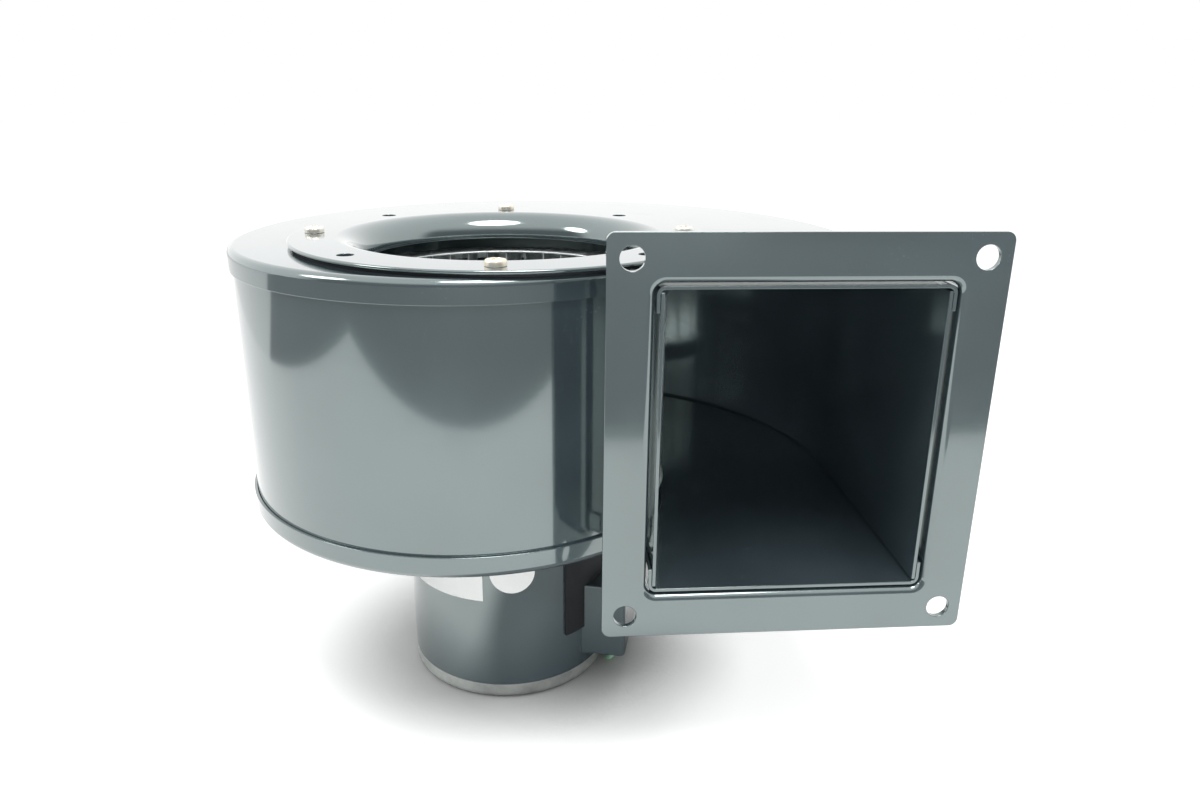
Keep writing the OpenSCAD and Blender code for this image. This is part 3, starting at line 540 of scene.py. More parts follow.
class Paint:
    """Builds the nodes of one material or world."""

    def __init__(self, owner):
        owner.use_nodes = True
        self.owner, self.tree, self.relief = owner, owner.node_tree, None

    def node(self, kind, settings=None, inputs=None):
        """A node of a kind, its settings first and then its sockets' values or links."""
        made = self.tree.nodes.new(kind)
        for key, value in (settings or {}).items():
            setattr(made, key, value)
        for key, value in (inputs or {}).items():
            self.join(value, made.inputs[key])
        return made

    def wire(self, kind, output, settings=None, inputs=None):
        """One output of a new node."""
        return Wire(self, self.node(kind, settings, inputs).outputs[output])

    def maths(self, operation, *values):
        """One Math node on some values."""
        return self.wire("ShaderNodeMath", 0, {"operation": operation}, dict(enumerate(values)))

    def join(self, value, socket):
        """Links a wire to a socket, or sets the socket's own value."""
        if isinstance(value, Wire):
            self.tree.links.new(value.socket, socket)
        else:
            socket.default_value = value

    def place(self, scale=(1, 1, 1)):
        """Object coordinates, scaled."""
        here = self.wire("ShaderNodeTexCoord", "Object")
        return self.wire("ShaderNodeMapping", 0, None, {"Vector": here, "Scale": scale})

    def vector(self, x, y, z):
        """A vector of three values."""
        return self.wire("ShaderNodeCombineXYZ", 0, None, {0: x, 1: y, 2: z})

    def parts(self, vector):
        """The three values of a vector."""
        node = self.node("ShaderNodeSeparateXYZ", None, {0: vector})
        return [Wire(self, output) for output in node.outputs]

    def rays(self, *kinds):
        """For each kind of ray, 1 where the surface is met by one."""
        node = self.node("ShaderNodeLightPath")
        return [Wire(self, node.outputs["Is %s Ray" % kind]) for kind in kinds]

    def noise(self, place, scale, detail=3.0, roughness=0.55):
        """Soft noise about a half; scale is in waves a metre."""
        inputs = {"Vector": place, "Scale": scale, "Detail": detail, "Roughness": roughness}
        return self.wire("ShaderNodeTexNoise", "Fac", None, inputs)

    def cells(self, place, scale, output="Distance"):
        """Cells of a Voronoi pattern; scale is in cells a metre."""
        return self.wire("ShaderNodeTexVoronoi", output, None, {"Vector": place, "Scale": scale})

    def mix(self, amount, first, second):
        """A colour between two colours."""
        inputs = {0: amount, 6: colour(first), 7: colour(second)}
        return self.wire("ShaderNodeMix", 2, {"data_type": "RGBA", "clamp_result": True}, inputs)

    def bump(self, height, depth):
        """Adds relief: depth in metres where height is 1."""
        inputs = {"Height": height, "Distance": depth, "Strength": 1.0}
        if self.relief:
            inputs["Normal"] = self.relief
        self.relief = self.wire("ShaderNodeBump", 0, None, inputs)

    def finish(self, **sockets):
        """Sets the surface's sockets by name and returns the material."""
        surface = self.tree.nodes["Principled BSDF"]
        for name, value in sockets.items():
            self.join(colour(value), surface.inputs[name.replace("_", " ")])
        self.join(self.relief, surface.inputs["Normal"])
        return self.owner


def colour(value):
    """Three numbers as a colour with its alpha, and anything else as it is."""
    return (*value, 1.0) if isinstance(value, tuple) else value


def shade(base, amount):
    """A colour times a number."""
    return tuple(min(1.0, c * amount) for c in base)


# ---------------------------------------------------------------- finishes
#
# Each takes its paint, its base colour and the place on the object.

DUST = (0.34, 0.36, 0.36)
SCUFFED_GREEN = (0.30, 0.48, 0.36)


def gloss_enamel(p, base, here):
    """Black enamel, dipped and baked: deep gloss, orange peel, faint pools and a little dust."""
    pools = p.noise(here, 16, 2)
    haze = p.noise(here, 55, 4)
    specks = p.cells(here, 900)
    dust = (1 - specks.step(0.06, 0.14)) * p.noise(here, 38, 2).step(0.5, 0.68)
    tone = p.mix(pools.step(0.35, 0.7), shade(base, 0.85), shade(base, 1.2))
    p.bump(p.noise(here, 620, 2, 0.4), 0.0045 * MM)
    p.bump(p.noise(here, 26, 1, 0.4), 0.03 * MM)
    return p.finish(
        Base_Color=p.mix(dust * 0.35, tone, DUST),
        Roughness=0.11 + haze.step(0.45, 0.8) * 0.07 + dust * 0.3,
        IOR=2.35,
        Specular_Tint=(0.82, 1.0, 0.94),
        Coat_Weight=1.0 - dust * 0.5,
        Coat_Roughness=0.05,
        Coat_IOR=1.75,
    )


def lathe_rings(p, here, fineness):
    """Rings left by a lathe: noise over the distance from the shaft and the height."""
    x, y, z = p.parts(here)
    return p.noise(p.vector((x * x + y * y).math("SQRT"), 0, z), fineness, 2)


def plated_zinc(p, base, here):
    """Plain zinc plating over turned steel: cloudy, with faint rings left by the tool."""
    clouds = p.noise(here, 75, 4, 0.6)
    stain = p.noise(here, 240, 3, 0.6).step(0.6, 0.8)
    p.bump(lathe_rings(p, here, 3200), 0.012 * MM)
    return p.finish(
        Base_Color=p.mix(clouds.step(0.3, 0.75), shade(base, 0.78), shade(base, 1.12)),
        Metallic=0.82,
        Roughness=0.36 + clouds * 0.16 + stain * 0.12,
    )


def yellow_zinc(p, base, here):
    """Passivated zinc on screws: warm, with a shift of hue from place to place."""
    hue = p.noise(here, 210, 3)
    p.bump(p.noise(here, 1800, 2), 0.01 * MM)
    return p.finish(
        Base_Color=p.mix(hue.step(0.35, 0.7), base, (base[0] * 0.95, base[1] * 1.05, base[2] * 1.2)),
        Metallic=0.85,
        Roughness=0.32 + p.noise(here, 700, 2) * 0.15,
    )


def galvanised_steel(p, base, here):
    """Galvanised sheet: flat crystals of slightly different tone and a fine grain."""
    crystal = p.parts(p.cells(here, 330, "Color"))[0]
    grain = p.noise(here, 1500, 2)
    p.bump(grain, 0.008 * MM)
    return p.finish(
        Base_Color=p.mix(crystal, shade(base, 0.8), shade(base, 1.12)),
        Metallic=1.0,
        Roughness=0.4 + crystal * 0.1 + grain * 0.1,
    )


def bright_steel(p, base, here):
    """Drawn and ground steel with fine lines round the shaft."""
    lines = p.noise(p.place((0.15, 0.15, 1)), 4200, 2)
    p.bump(lines, 0.006 * MM)
    return p.finish(
        Base_Color=p.mix(p.noise(here, 160, 3), shade(base, 0.88), shade(base, 1.08)),
        Metallic=1.0,
        Roughness=0.2 + lines * 0.14,
    )


def turned_aluminium(p, base, here):
    """Aluminium bar turned on a lathe: fine rings and a soft sheen."""
    rings = lathe_rings(p, here, 2600)
    p.bump(rings, 0.015 * MM)
    bright = p.mix(rings, shade(base, 0.9), base)
    return p.finish(Base_Color=bright, Metallic=1.0, Roughness=0.26 + rings * 0.16)


def cast_alloy(p, base, here):
    """Sand-grained die casting with darker pores."""
    grain = p.noise(here, 900, 4, 0.6)
    pores = 1 - p.cells(here, 520).step(0.05, 0.22)
    p.bump(grain - pores * 0.6, 0.05 * MM)
    tone = p.mix(pores * 0.5 + grain * 0.3, base, shade(base, 0.6))
    return p.finish(Base_Color=tone, Metallic=0.9, Roughness=0.42 + grain * 0.2)


def varnished_core(p, base, here):
    """Stacked core plates under varnish: one line for each half-millimetre plate."""
    height = p.parts(here)[2]
    plates = (height * (FULL_TURN / (0.5 * MM))).math("SINE") * 0.5 + 0.5
    p.bump(plates, 0.03 * MM)
    tone = p.mix(p.noise(here, 180, 3), shade(base, 0.75), shade(base, 1.3))
    return p.finish(Base_Color=tone, Metallic=0.7, Roughness=0.3 + plates * 0.15)


def copper_wire(p, base, here):
    """Varnished copper wire laid side by side."""
    x, y, z = p.parts(here)
    lay = ((y.math("ARCTAN2", x) * 0.03 + z) * (FULL_TURN / (0.7 * MM))).math("SINE") * 0.5 + 0.5
    tone = p.noise(here, 260, 3)
    p.bump(lay, 0.1 * MM)
    return p.finish(
        Base_Color=p.mix(lay * 0.4 + tone * 0.4, shade(base, 1.1), shade(base, 0.5)),
        Metallic=0.9,
        Roughness=0.26 + tone * 0.14,
    )


def sintered_bronze(p, base, here):
    """Pressed bronze powder, oil-dark in its pores."""
    grain = p.cells(here, 2400)
    p.bump(grain, 0.02 * MM)
    oily = p.mix(grain, shade(base, 0.6), base)
    return p.finish(Base_Color=oily, Metallic=0.9, Roughness=0.38 + grain * 0.2)


def soft_brass(p, base, here):
    """Folded brass strip with handling marks."""
    tone = p.noise(here, 220, 4)
    p.bump(p.noise(p.place((1, 1, 0.1)), 2200, 2), 0.006 * MM)
    handled = p.mix(tone, shade(base, 0.8), base)
    return p.finish(Base_Color=handled, Metallic=1.0, Roughness=0.22 + tone * 0.16)


def dark_rubber(p, base, here):
    """Cut rubber: matt, with a fine grain and a bloom of dust."""
    grain = p.noise(here, 2000, 2)
    p.bump(grain, 0.02 * MM)
    tone = p.mix(p.noise(here, 130, 4) * 0.5, base, shade(base, 3))
    return p.finish(Base_Color=tone, Roughness=0.62 + grain * 0.2)


def fired_ferrite(p, base, here):
    """Fired magnet ceramic: dark, matt, with ground faces."""
    grain = p.noise(here, 700, 4)
    p.bump(grain, 0.02 * MM)
    return p.finish(Base_Color=p.mix(grain, shade(base, 0.7), shade(base, 1.4)), Roughness=0.55 + grain * 0.2)


def paper_laminate(p, base, here):
    """Resin-bonded paper card: brown, with a faint weave."""
    x, y, _ = p.parts(here)
    weave = (x * 5200).math("SINE") * (y * 5200).math("SINE") * 0.5 + 0.5
    p.bump(weave, 0.01 * MM)
    tone = p.mix(p.noise(here, 90, 4), shade(base, 0.75), shade(base, 1.2))
    return p.finish(Base_Color=tone, Roughness=0.38 + weave * 0.12)


def pressed_carbon(p, base, here):
    """Pressed carbon with a glint of graphite."""
    flakes = p.cells(here, 3200)
    p.bump(flakes, 0.01 * MM)
    tone = p.mix(flakes, shade(base, 0.8), shade(base, 2.2))
    return p.finish(Base_Color=tone, Metallic=0.3, Roughness=0.4 + flakes * 0.2)


def moulded_block(p, base, here):
    """Pale thermoset moulding with a speckle."""
    fleck = p.cells(here, 1500)
    p.bump(p.noise(here, 1200, 2), 0.01 * MM)
    speckled = p.mix(fleck.step(0.1, 0.4), shade(base, 0.8), base)
    return p.finish(Base_Color=speckled, Roughness=0.35 + fleck * 0.1)


def green_insulation(p, base, here):
    """Green plastic insulation: a soft sheen and scuffs."""
    scuff = p.noise(here, 350, 4, 0.6)
    p.bump(p.noise(here, 1500, 2), 0.008 * MM)
    tone = p.mix(scuff.step(0.5, 0.8) * 0.4, base, SCUFFED_GREEN)
    return p.finish(Base_Color=tone, Roughness=0.33 + scuff * 0.18, IOR=1.52)


def paper_label(p, base, here):
    """A bare coated paper label: white, slightly creased, with a faint fibre."""
    fibre = p.noise(p.place((1, 1, 0.4)), 2600, 3)
    creases = p.noise(here, 90, 2)
    p.bump(creases, 0.05 * MM)
    p.bump(fibre, 0.004 * MM)
    return p.finish(Base_Color=p.mix(fibre, shade(base, 0.94), base), Roughness=0.42 + creases * 0.12)


def nylon_tie(p, base, here):
    """Natural nylon of a cable tie: milky, with a moulded grain."""
    cloud = p.noise(here, 600, 3)
    p.bump(cloud, 0.01 * MM)
    return p.finish(Base_Color=p.mix(cloud, shade(base, 0.9), base), Roughness=0.36 + cloud * 0.12)


FINISHES = {
    "black_enamel": gloss_enamel,
    "rubber": dark_rubber,
    "yellow_zinc": yellow_zinc,
    "galvanised_steel": galvanised_steel,
    "turned_aluminium": turned_aluminium,
    "bright_steel": bright_steel,
    "core_steel": varnished_core,
    "copper": copper_wire,
    "cast_alloy": cast_alloy,
    "zinc_plate": plated_zinc,
    "bronze": sintered_bronze,
    "ferrite": fired_ferrite,
    "laminate": paper_laminate,
    "brass": soft_brass,
    "carbon": pressed_carbon,
    "moulded_block": moulded_block,
    "green_insulation": green_insulation,
    "blank_label": paper_label,
    "cable_tie": nylon_tie,
}
MADE = {}


def finish_of(slot):
    """The material of a slot, made once, with the colour that the user's value of that name gives."""
    if slot not in MADE:
        make = FINISHES[slot]
        p = Paint(bpy.data.materials.new(make.__name__))
        MADE[slot] = make(p, tuple(getattr(sizes("finish"), slot)), p.place())
    return MADE[slot]


# ---------------------------------------------------------------- housing


def scroll_outline():
    """Strokes of the scroll and duct seen from above, anticlockwise from the duct's right end to its left.

    Right wall, back arc, front arc, the tongue's hollow and the duct's left wall meet without a corner.
    """
    s = sizes("housing")
    right, left, end = PLATE_HIGH[0], PLATE_LOW[0], PLATE_LOW[1]
    front_radius, back_radius = s.front_x - left, right - s.back_x
    duct_left = right - s.duct_width
    tongue_x = duct_left - s.tongue
    tongue_y = s.centre_y - math.sqrt((front_radius + s.tongue) ** 2 - (tongue_x - s.front_x) ** 2)
    turn = math.degrees(math.atan2(s.centre_y - tongue_y, s.front_x - tongue_x))
    return {
        "right": line((right, end), (right, s.centre_y)),
        "back": arc((s.back_x, s.centre_y), back_radius, 0, 180),
        "front": arc((s.front_x, s.centre_y), front_radius, 180, 180 + turn),
        "tongue": arc((tongue_x, tongue_y), s.tongue, turn, 0, 40),
        "left": line((duct_left, tongue_y), (duct_left, end)),
    }


def fold_section():
    """A folded edge: inner bend, skirt, its cut edge and the outer bend, with the plate's face at y = 0."""
    s = sizes("housing")
    middle, edge = (-s.fold, -s.fold), s.cut_edge
    return [
        arc(middle, s.fold - s.sheet, 90, 0, 10),
        line((-s.sheet, -s.fold), (-s.sheet, edge - s.skirt)),
        arc((edge - s.sheet, edge - s.skirt), edge, 180, 270, 4),
        line((edge - s.sheet, -s.skirt), (-edge, -s.skirt)),
        arc((-edge, edge - s.skirt), edge, 270, 360, 4),
        line((0, edge - s.skirt), (0, -s.fold)),
        arc(middle, s.fold, 0, 90, 14),
    ]


def inset_stroke(stroke, inset):
    """A stroke moved against its normals."""
    return stroke[0] - stroke[1] * inset, stroke[1]


def side_plate(skin, plane, holes):
    """A side plate: skirts folded along scroll and duct, a plain edge round the tongue between notches."""
    s = sizes("housing")
    walls = scroll_outline()
    radius = np.linalg.norm(walls["front"][0][0] - (s.front_x, s.centre_y))
    tongue_point = walls["tongue"][0][0]
    turn = math.degrees(math.atan2(*(tongue_point - (s.front_x, s.centre_y))[::-1])) % 360
    stop = turn - math.degrees(s.relief / radius)
    front = arc((s.front_x, s.centre_y), radius, 180, stop)
    duct_left, tongue_y = walls["left"][0][0]
    end = walls["left"][0][-1][1]
    left = line((duct_left, tongue_y - s.relief), (duct_left, end))
    section = fold_section()
    skin.carry([walls["right"], walls["back"], front], section, plane, ends=s.cut_edge)
    skin.carry([left], section, plane, ends=s.cut_edge)
    deep = s.fold + s.notch
    notch_front = arc((s.front_x, s.centre_y), radius - deep, stop, turn, 4)
    notch_left = line((duct_left + deep, tongue_y), (duct_left + deep, tongue_y - s.relief), 4)
    plain = [
        line(inset_stroke(front, s.fold)[0][-1], notch_front[0][0]),
        notch_front,
        line(notch_front[0][-1], tongue_point),
        walls["tongue"],
        line((duct_left, tongue_y), (duct_left + deep, tongue_y)),
        notch_left,
        line(notch_left[0][-1], inset_stroke(left, s.fold)[0][0]),
    ]
    skin.carry(plain, [line((0, -s.sheet), (0, 0))], plane)
    outlet = line(inset_stroke(left, s.fold)[0][-1], inset_stroke(walls["right"], s.fold)[0][0])
    skin.carry([outlet], cut_edge_section(-s.sheet, 0, s.cut_edge), plane)
    folds = [inset_stroke(stroke, s.fold) for stroke in (walls["right"], walls["back"], front)]
    around = folds + plain + [inset_stroke(left, s.fold)]
    points = np.concatenate([points for points, _ in around])
    points[np.abs(points[:, 1] - end) < WELD, 1] += s.cut_edge
    outer = points[np.linalg.norm(points - np.roll(points, 1, axis=0), axis=1) > WELD]
    skin.sheet([outer], holes, plane, -s.sheet, 0, s.cut_edge)


def round_the_shaft(radius, count, start=0.0):
    """Points on a circle about the shaft, their first one at start in degrees."""
    a = np.radians(start + np.arange(count) * 360 / count)
    return np.stack([radius * np.cos(a), radius * np.sin(a)], 1)


class BLOWER_OT_housing(bpy.types.Operator):
    """Make the scroll's wall and both folded side plates"""

    bl_idname = "blower.housing"
    bl_label = "Scroll housing"

    def execute(self, context):
        s, ring = sizes("housing"), sizes("ring")
        wall = Skin()
        outside = s.sheet + s.seam
        section = bar_section(-outside - s.sheet, -outside, WRAP_LOW[2], WRAP_HIGH[2], s.cut_edge)
        wall.carry(list(scroll_outline().values()), section, Plane((0, 0, 0)), ends=s.cut_edge)
        wall.make("scroll_wall", "housing", "black_enamel", ["scroll_wrap"])

        upper = Skin()
        spots = round_the_shaft(ring.bolt_circle, SCREW_COUNT, 45)
        holes = [hole((0, 0), s.inlet)] + [hole(spot, ring.hole) for spot in spots]
        side_plate(upper, Plane((0, 0, LID_Z)), holes)
        upper.make("upper_side_plate", "housing", "black_enamel", ["inlet_side_plate"])

        lower = Skin()
        side_plate(lower, Plane((0, 0, FLOOR_Z), up=-Z_AXIS), [hole((0, 0), s.boss_hole)])
        lower.make("lower_side_plate", "housing", "black_enamel", ["motor_side_plate"])
        return {"FINISHED"}


class BLOWER_OT_flange(bpy.types.Operator):
    """Make the outlet flange with its collar and weld beads"""

    bl_idname = "blower.flange"
    bl_label = "Outlet flange"

    def execute(self, context):
        s, housing = sizes("flange"), sizes("housing")
        width, height = FLANGE_HIGH[0] - FLANGE_LOW[0], FLANGE_HIGH[2] - FLANGE_LOW[2]
        deep = FLANGE_HIGH[1] - FLANGE_LOW[1]
        middle = ((FLANGE_LOW[0] + FLANGE_HIGH[0]) / 2, FLANGE_LOW[1], (FLANGE_LOW[2] + FLANGE_HIGH[2]) / 2)
        plane = Plane(middle, X_AXIS, Z_AXIS, Y_AXIS)
        opening_width = housing.duct_width + 2 * s.clearance
        opening_height = LID_Z - FLOOR_Z + 2 * s.clearance
        opening_corner = housing.fold + s.clearance
        edge, t, fold = housing.cut_edge, s.thickness, s.fold
        skin = Skin()

        corner = (fold, fold)
        collar = [
            line((0, deep - edge), (0, fold)),
            arc(corner, fold, 180, 270, 12),
        ]
        back = [
            arc(corner, fold - t, 270, 180, 6),
            line((t, fold), (t, deep - edge)),
            arc((t - edge, deep - edge), edge, 0, 90, 4),
            line((t - edge, deep), (edge, deep)),
            arc((edge, deep - edge), edge, 90, 180, 4),
        ]
        mouth = round_rectangle(opening_width, opening_height, opening_corner)
        skin.carry(mouth, collar + back, plane)

        outline = round_rectangle(width, height, s.corner)
        reach = np.array([width / 2 - s.inset, height / 2 - s.inset])
        holes = [hole(reach * (sx, sy), s.hole) for sx in (-1, 1) for sy in (-1, 1)]
        skin.carry(outline, cut_edge_section(0, t, edge), plane)
        skin.sheet([loop(outline, edge), loop(mouth, -fold)[::-1]], holes, plane, 0, t, edge)

        bead_share = 0.3  # of the duct's width, from its middle to a bead
        for side in (-1, 1):
            place = side * bead_share * housing.duct_width, s.clearance - opening_height / 2
            weld_bead(skin, plane, place, deep)
        skin.make("flange_plate", "housing", "black_enamel", ["outlet_flange"])
        return {"FINISHED"}


def weld_bead(skin, plane, place, deep):
    """A bead along the collar's end: an oval whose section swells and thins in small ripples."""
    s = sizes("flange")
    along = np.linspace(-1, 1, 33)[:, None]
    around = np.linspace(0, FULL_TURN, 25)[None]
    swell = np.sqrt(np.clip(1 - along**2, 0, 1)) * (1 + 0.06 * np.cos(22 * along))
    across = s.bead_length / 2 * along + 0 * around
    out = -s.bead * (0.1 + 0.9 * swell * np.cos(around)) * 0.9
    back = s.bead * swell * np.sin(around)
    points = plane.place(np.stack([across + place[0], place[1] + out], -1), (deep + back)[..., None])
    skin.grid(points, grid_normals(points))


def grid_normals(points):
    """Normals of a grid from the differences along its rows and columns; the sign is settled by the weld."""
    along, across = np.gradient(points, axis=0), np.gradient(points, axis=1)
    normals = np.cross(along, across)
    length = np.linalg.norm(normals, axis=-1, keepdims=True)
    middle = points.reshape(-1, 3).mean(0)
    outward = points - middle
    normals = np.where(length > 1e-18, normals / np.maximum(length, 1e-18), unit(outward + 1e-12))
    flip = np.sign((normals * outward).sum())
    return normals * (flip if flip else 1)


# ---------------------------------------------------------------- inlet ring


class BLOWER_OT_ring(bpy.types.Operator):
    """Make the bell-mouthed inlet ring"""

    bl_idname = "blower.ring"
    bl_label = "Inlet ring"

    def execute(self, context):
        s = sizes("ring")
        plane = Plane((0, 0, RING_HIGH[2]))
        t, reach = s.thickness, RING_HIGH[0]
        throat = reach_of_throat()
        roll = throat + s.roll
        skin = Skin()
        skin.revolve([arc((reach - t / 2, -t / 2), t / 2, -90, 90, 14)], plane.origin)
        bell = [
            arc((roll, -s.roll), s.roll, 90, 180, 40),
            arc((throat + t / 2, -s.roll), t / 2, 180, 360, 14),
            arc((roll, -s.roll), s.roll - t, 180, 90, 32),
        ]
        skin.revolve(bell, plane.origin, steps=arc_steps(reach))
        holes = [hole(spot, s.hole) for spot in round_the_shaft(s.bolt_circle, SCREW_COUNT, 45)]
        rims = [ring_loop(reach - t / 2, reach), ring_loop(roll, reach)]
        skin.sheet(rims, holes, plane, -t, 0, sizes("housing").cut_edge)
        skin.make("bell_mouth_ring", "housing", "black_enamel", ["inlet_ring"])
        return {"FINISHED"}


def reach_of_throat():
    """Radius of the bell's lip, found from the node's vertices."""
    mesh = frame["nodes"]["inlet_ring"].data
    points = np.empty(len(mesh.vertices) * 3)
    mesh.vertices.foreach_get("co", points)
    return np.linalg.norm(points.reshape(-1, 3)[:, :2], axis=1).min()


def ring_loop(radius, reach):
    """A circle with the same steps as a ring that reaches out to reach."""
    a = np.linspace(0, FULL_TURN, arc_steps(reach) + 1)[:-1]
    return radius * np.stack([np.cos(a), np.sin(a)], 1)


class BLOWER_OT_ring_screws(bpy.types.Operator):
    """Make the four cross-recessed screws of the inlet ring"""

    bl_idname = "blower.ring_screws"
    bl_label = "Ring screws"

    def execute(self, context):
        s = sizes("ring")
        skin = Skin()
        low = node_box("inlet_ring_screws")[0][2] - RING_HIGH[2]
        shank, point, chamfer = 1.9 * MM, 1.5 * MM, 0.5 * MM
        corners = [(0, low), (point, low), (shank, low + chamfer), (shank, 0.1 * MM)]
        for index, (x, y) in enumerate(round_the_shaft(s.bolt_circle, SCREW_COUNT)):
            seat = np.array([x, y, RING_HIGH[2]])
            pan_head(skin, seat, math.radians(17 + 74 * index))
            skin.revolve([line(a, b) for a, b in zip(corners, corners[1:])], seat)
        skin.make("ring_pan_screws", "housing", "yellow_zinc", ["inlet_ring_screws"])
        return {"FINISHED"}


def pan_head(skin, seat, turn):
    """Height over radius r and angle a: a dome that rolls over at the rim, less a tapered cross recess."""
    s = sizes("ring")
    flat, foot = 0.86, 0.25 * MM
    waist = 0.42 * s.head_height
    rolled = flat + (1 - flat) * np.sin(np.linspace(0, math.pi / 2, 12)[1:])
    r = s.head * np.concatenate([np.linspace(0, flat, 44), rolled])
    a = np.linspace(0, FULL_TURN, 145)
    radius, angle = np.meshgrid(r, a, indexing="ij")
    x, y = radius * np.cos(angle), radius * np.sin(angle)
    share_out = radius / s.head
    roll = np.clip((share_out - flat) / (1 - flat), 0, 1)
    dome = s.head_height * (1 - 0.17 * share_out**2)
    top = dome - (dome - waist) * (1 - np.sqrt(np.clip(1 - roll**2, 0, 1)))
    wing, half = s.head * 0.62, s.head * 0.13
    arm = np.maximum(soft_slot(x, y, wing, half), soft_slot(y, x, wing, half))
    top = top - s.recess * arm * (1 - 0.55 * share_out)
    c, n = math.cos(turn), math.sin(turn)
    points = np.stack([x * c - y * n, x * n + y * c, top], -1) + seat
    normals = grid_normals(points)
    normals = normals * np.where(normals[..., 2:] < -1e-6, -1, 1)
    normals[:, -1] = normals[:, 0] = unit(normals[:, 0] + normals[:, -1])
    normals[0] = Z_AXIS
    skin.grid(points, normals)
    side = [
        line((s.head, foot), (s.head, waist)),
        arc((s.head - foot, foot), foot, -90, 0, 4),
        line((0, 0), (s.head - foot, 0)),
    ]
    skin.revolve(side, seat, steps=144)


def soft_slot(along, across, reach, half):
    """1 inside a slot, 0 outside, with sloping walls and ends."""
    wall = np.clip((half * 1.35 - np.abs(across)) / (half * 0.5), 0, 1)
    end = np.clip((reach - np.abs(along)) / (reach * 0.3), 0, 1)
    return wall * wall * (3 - 2 * wall) * end


# ---------------------------------------------------------------- wheel


class BLOWER_OT_wheel(bpy.types.Operator):
    """Make the wheel's rim with the clinched tabs, and its forward-curved blades"""

    bl_idname = "blower.wheel"
    bl_label = "Wheel"

    def execute(self, context):
        s = sizes("wheel")
        t, low, top, out = s.rim_sheet, RIM_LOW[2], RIM_HIGH[2], RIM_HIGH[0]
        wheel = out - t - 0.1 * MM
        inner = wheel - s.rim_width
        rim = Skin()
        edge = 0.2 * MM
        bend = 0.7 * MM
        section = [
            arc((inner + t / 2, top - t / 2), t / 2, 90, 270, 10),
            line((inner + t / 2, top - t), (out - t - edge, top - t)),
            arc((out - t - edge, top - t - edge), edge, 90, 0, 4),
            line((out - t, top - t - edge), (out - t, low + edge)),
            arc((out - t + edge, low + edge), edge, 180, 270, 4),
            line((out - t + edge, low), (out - edge, low)),
            arc((out - edge, low + edge), edge, 270, 360, 4),
            line((out, low + edge), (out, top - bend)),
            arc((out - bend, top - bend), bend, 0, 90, 8),
            line((out - bend, top), (inner + t / 2, top)),
        ]
        rim.revolve(section, (0, 0, 0))
        blades = Skin()
        for index in range(s.blades):
            turn = math.radians(360 * index / s.blades)
            clinched_tab(rim, turn, top)
            wheel_blade(blades, turn)
        rim.make("wheel_rim_band", "rotor", "galvanised_steel", ["wheel_rim"])
        blades.make("curved_blades", "rotor", "galvanised_steel", ["wheel_blades"])
        return {"FINISHED"}


def blade_line(t):
    """Middle line of a blade from heel to tip: an arc that leaves along the radius and leans forward."""
    s = sizes("wheel")
    wheel = BLADES_HIGH[0]
    heel = wheel - s.blade_depth
    full = blade_sweep(heel, wheel, s.blade_curve)
    a = math.pi / 2 - t * full
    centre = np.array([heel, -s.blade_curve])
    spoke = np.stack([np.cos(a), np.sin(a)], -1)
    return centre + s.blade_curve * spoke, spoke


def blade_sweep(heel, wheel, curve):
    """Angle of the blade's arc at which its radius from the shaft is the wheel's."""
    a = np.linspace(0, math.pi / 2, 2000)
    reach = np.hypot(heel + curve * np.sin(a), curve * np.cos(a) - curve)
    return float(np.interp(wheel, reach, a))


def wheel_blade(skin, turn):
    """A curved strip: across the section t runs round the blade's outline, and up it is straight."""
    s = sizes("wheel")
    half = s.blade_sheet / 2
    middle, normal = blade_line(np.linspace(0.03, 0.97, 15))
    way = unit(np.gradient(middle, axis=0))
    a = np.linspace(0, math.pi, 7)[1:-1, None]
    tip = middle[-1] + half * (np.cos(a) * normal[-1] + np.sin(a) * way[-1])
    heel = middle[0] - half * (np.cos(a) * normal[0] + np.sin(a) * way[0])
    flat = np.concatenate([middle + half * normal, tip, (middle - half * normal)[::-1], heel])
    lean = np.concatenate([normal, unit(tip - middle[-1]), -normal[::-1], unit(heel - middle[0])])
    c, n = math.cos(turn), math.sin(turn)
    spin = np.array([[c, n], [-n, c]])
    flat, lean = flat @ spin, lean @ spin
    closed, closed_lean = np.concatenate([flat, flat[:1]]), np.concatenate([lean, lean[:1]])
    ends = BLADES_LOW[2], BLADES_HIGH[2]
    plane = Plane((0, 0, 0))
    skin.grid(plane.place(closed) + np.array(ends)[:, None, None] * Z_AXIS, plane.turn(closed_lean))
    for height, facing in zip(ends, (-1, 1)):
        skin.fill([flat], plane, height, facing)


def clinched_tab(skin, turn, top):
    """A flattened tab over the rim: height (1 - u^4)(1 - v^4) on a small curved rectangle."""
    s = sizes("wheel")
    u = np.linspace(-1, 1, 9)[:, None]
    v = np.linspace(-1, 1, 9)[None]
    middle, _ = blade_line(np.array([0.5]))
    radius, azimuth = np.hypot(*middle[0]), math.atan2(middle[0][1], middle[0][0]) + turn
    half, sunk, lean = 1.1 * MM, 0.02 * MM, math.radians(38)
    along, across = s.tab_width / 2 * u, half * v
    height = s.tab_height * (1 - u**4) * (1 - v**4)
    x = radius + along * math.cos(lean) + across * math.sin(lean)
    y = -along * math.sin(lean) + across * math.cos(lean)
    c, n = math.cos(azimuth), math.sin(azimuth)
    points = np.stack([x * c - y * n, x * n + y * c, top - sunk + height], -1)
    normals = grid_normals(points)
    skin.grid(points, normals * np.where(normals[..., 2:] < 0, -1, 1))


# ---------------------------------------------------------------- motor


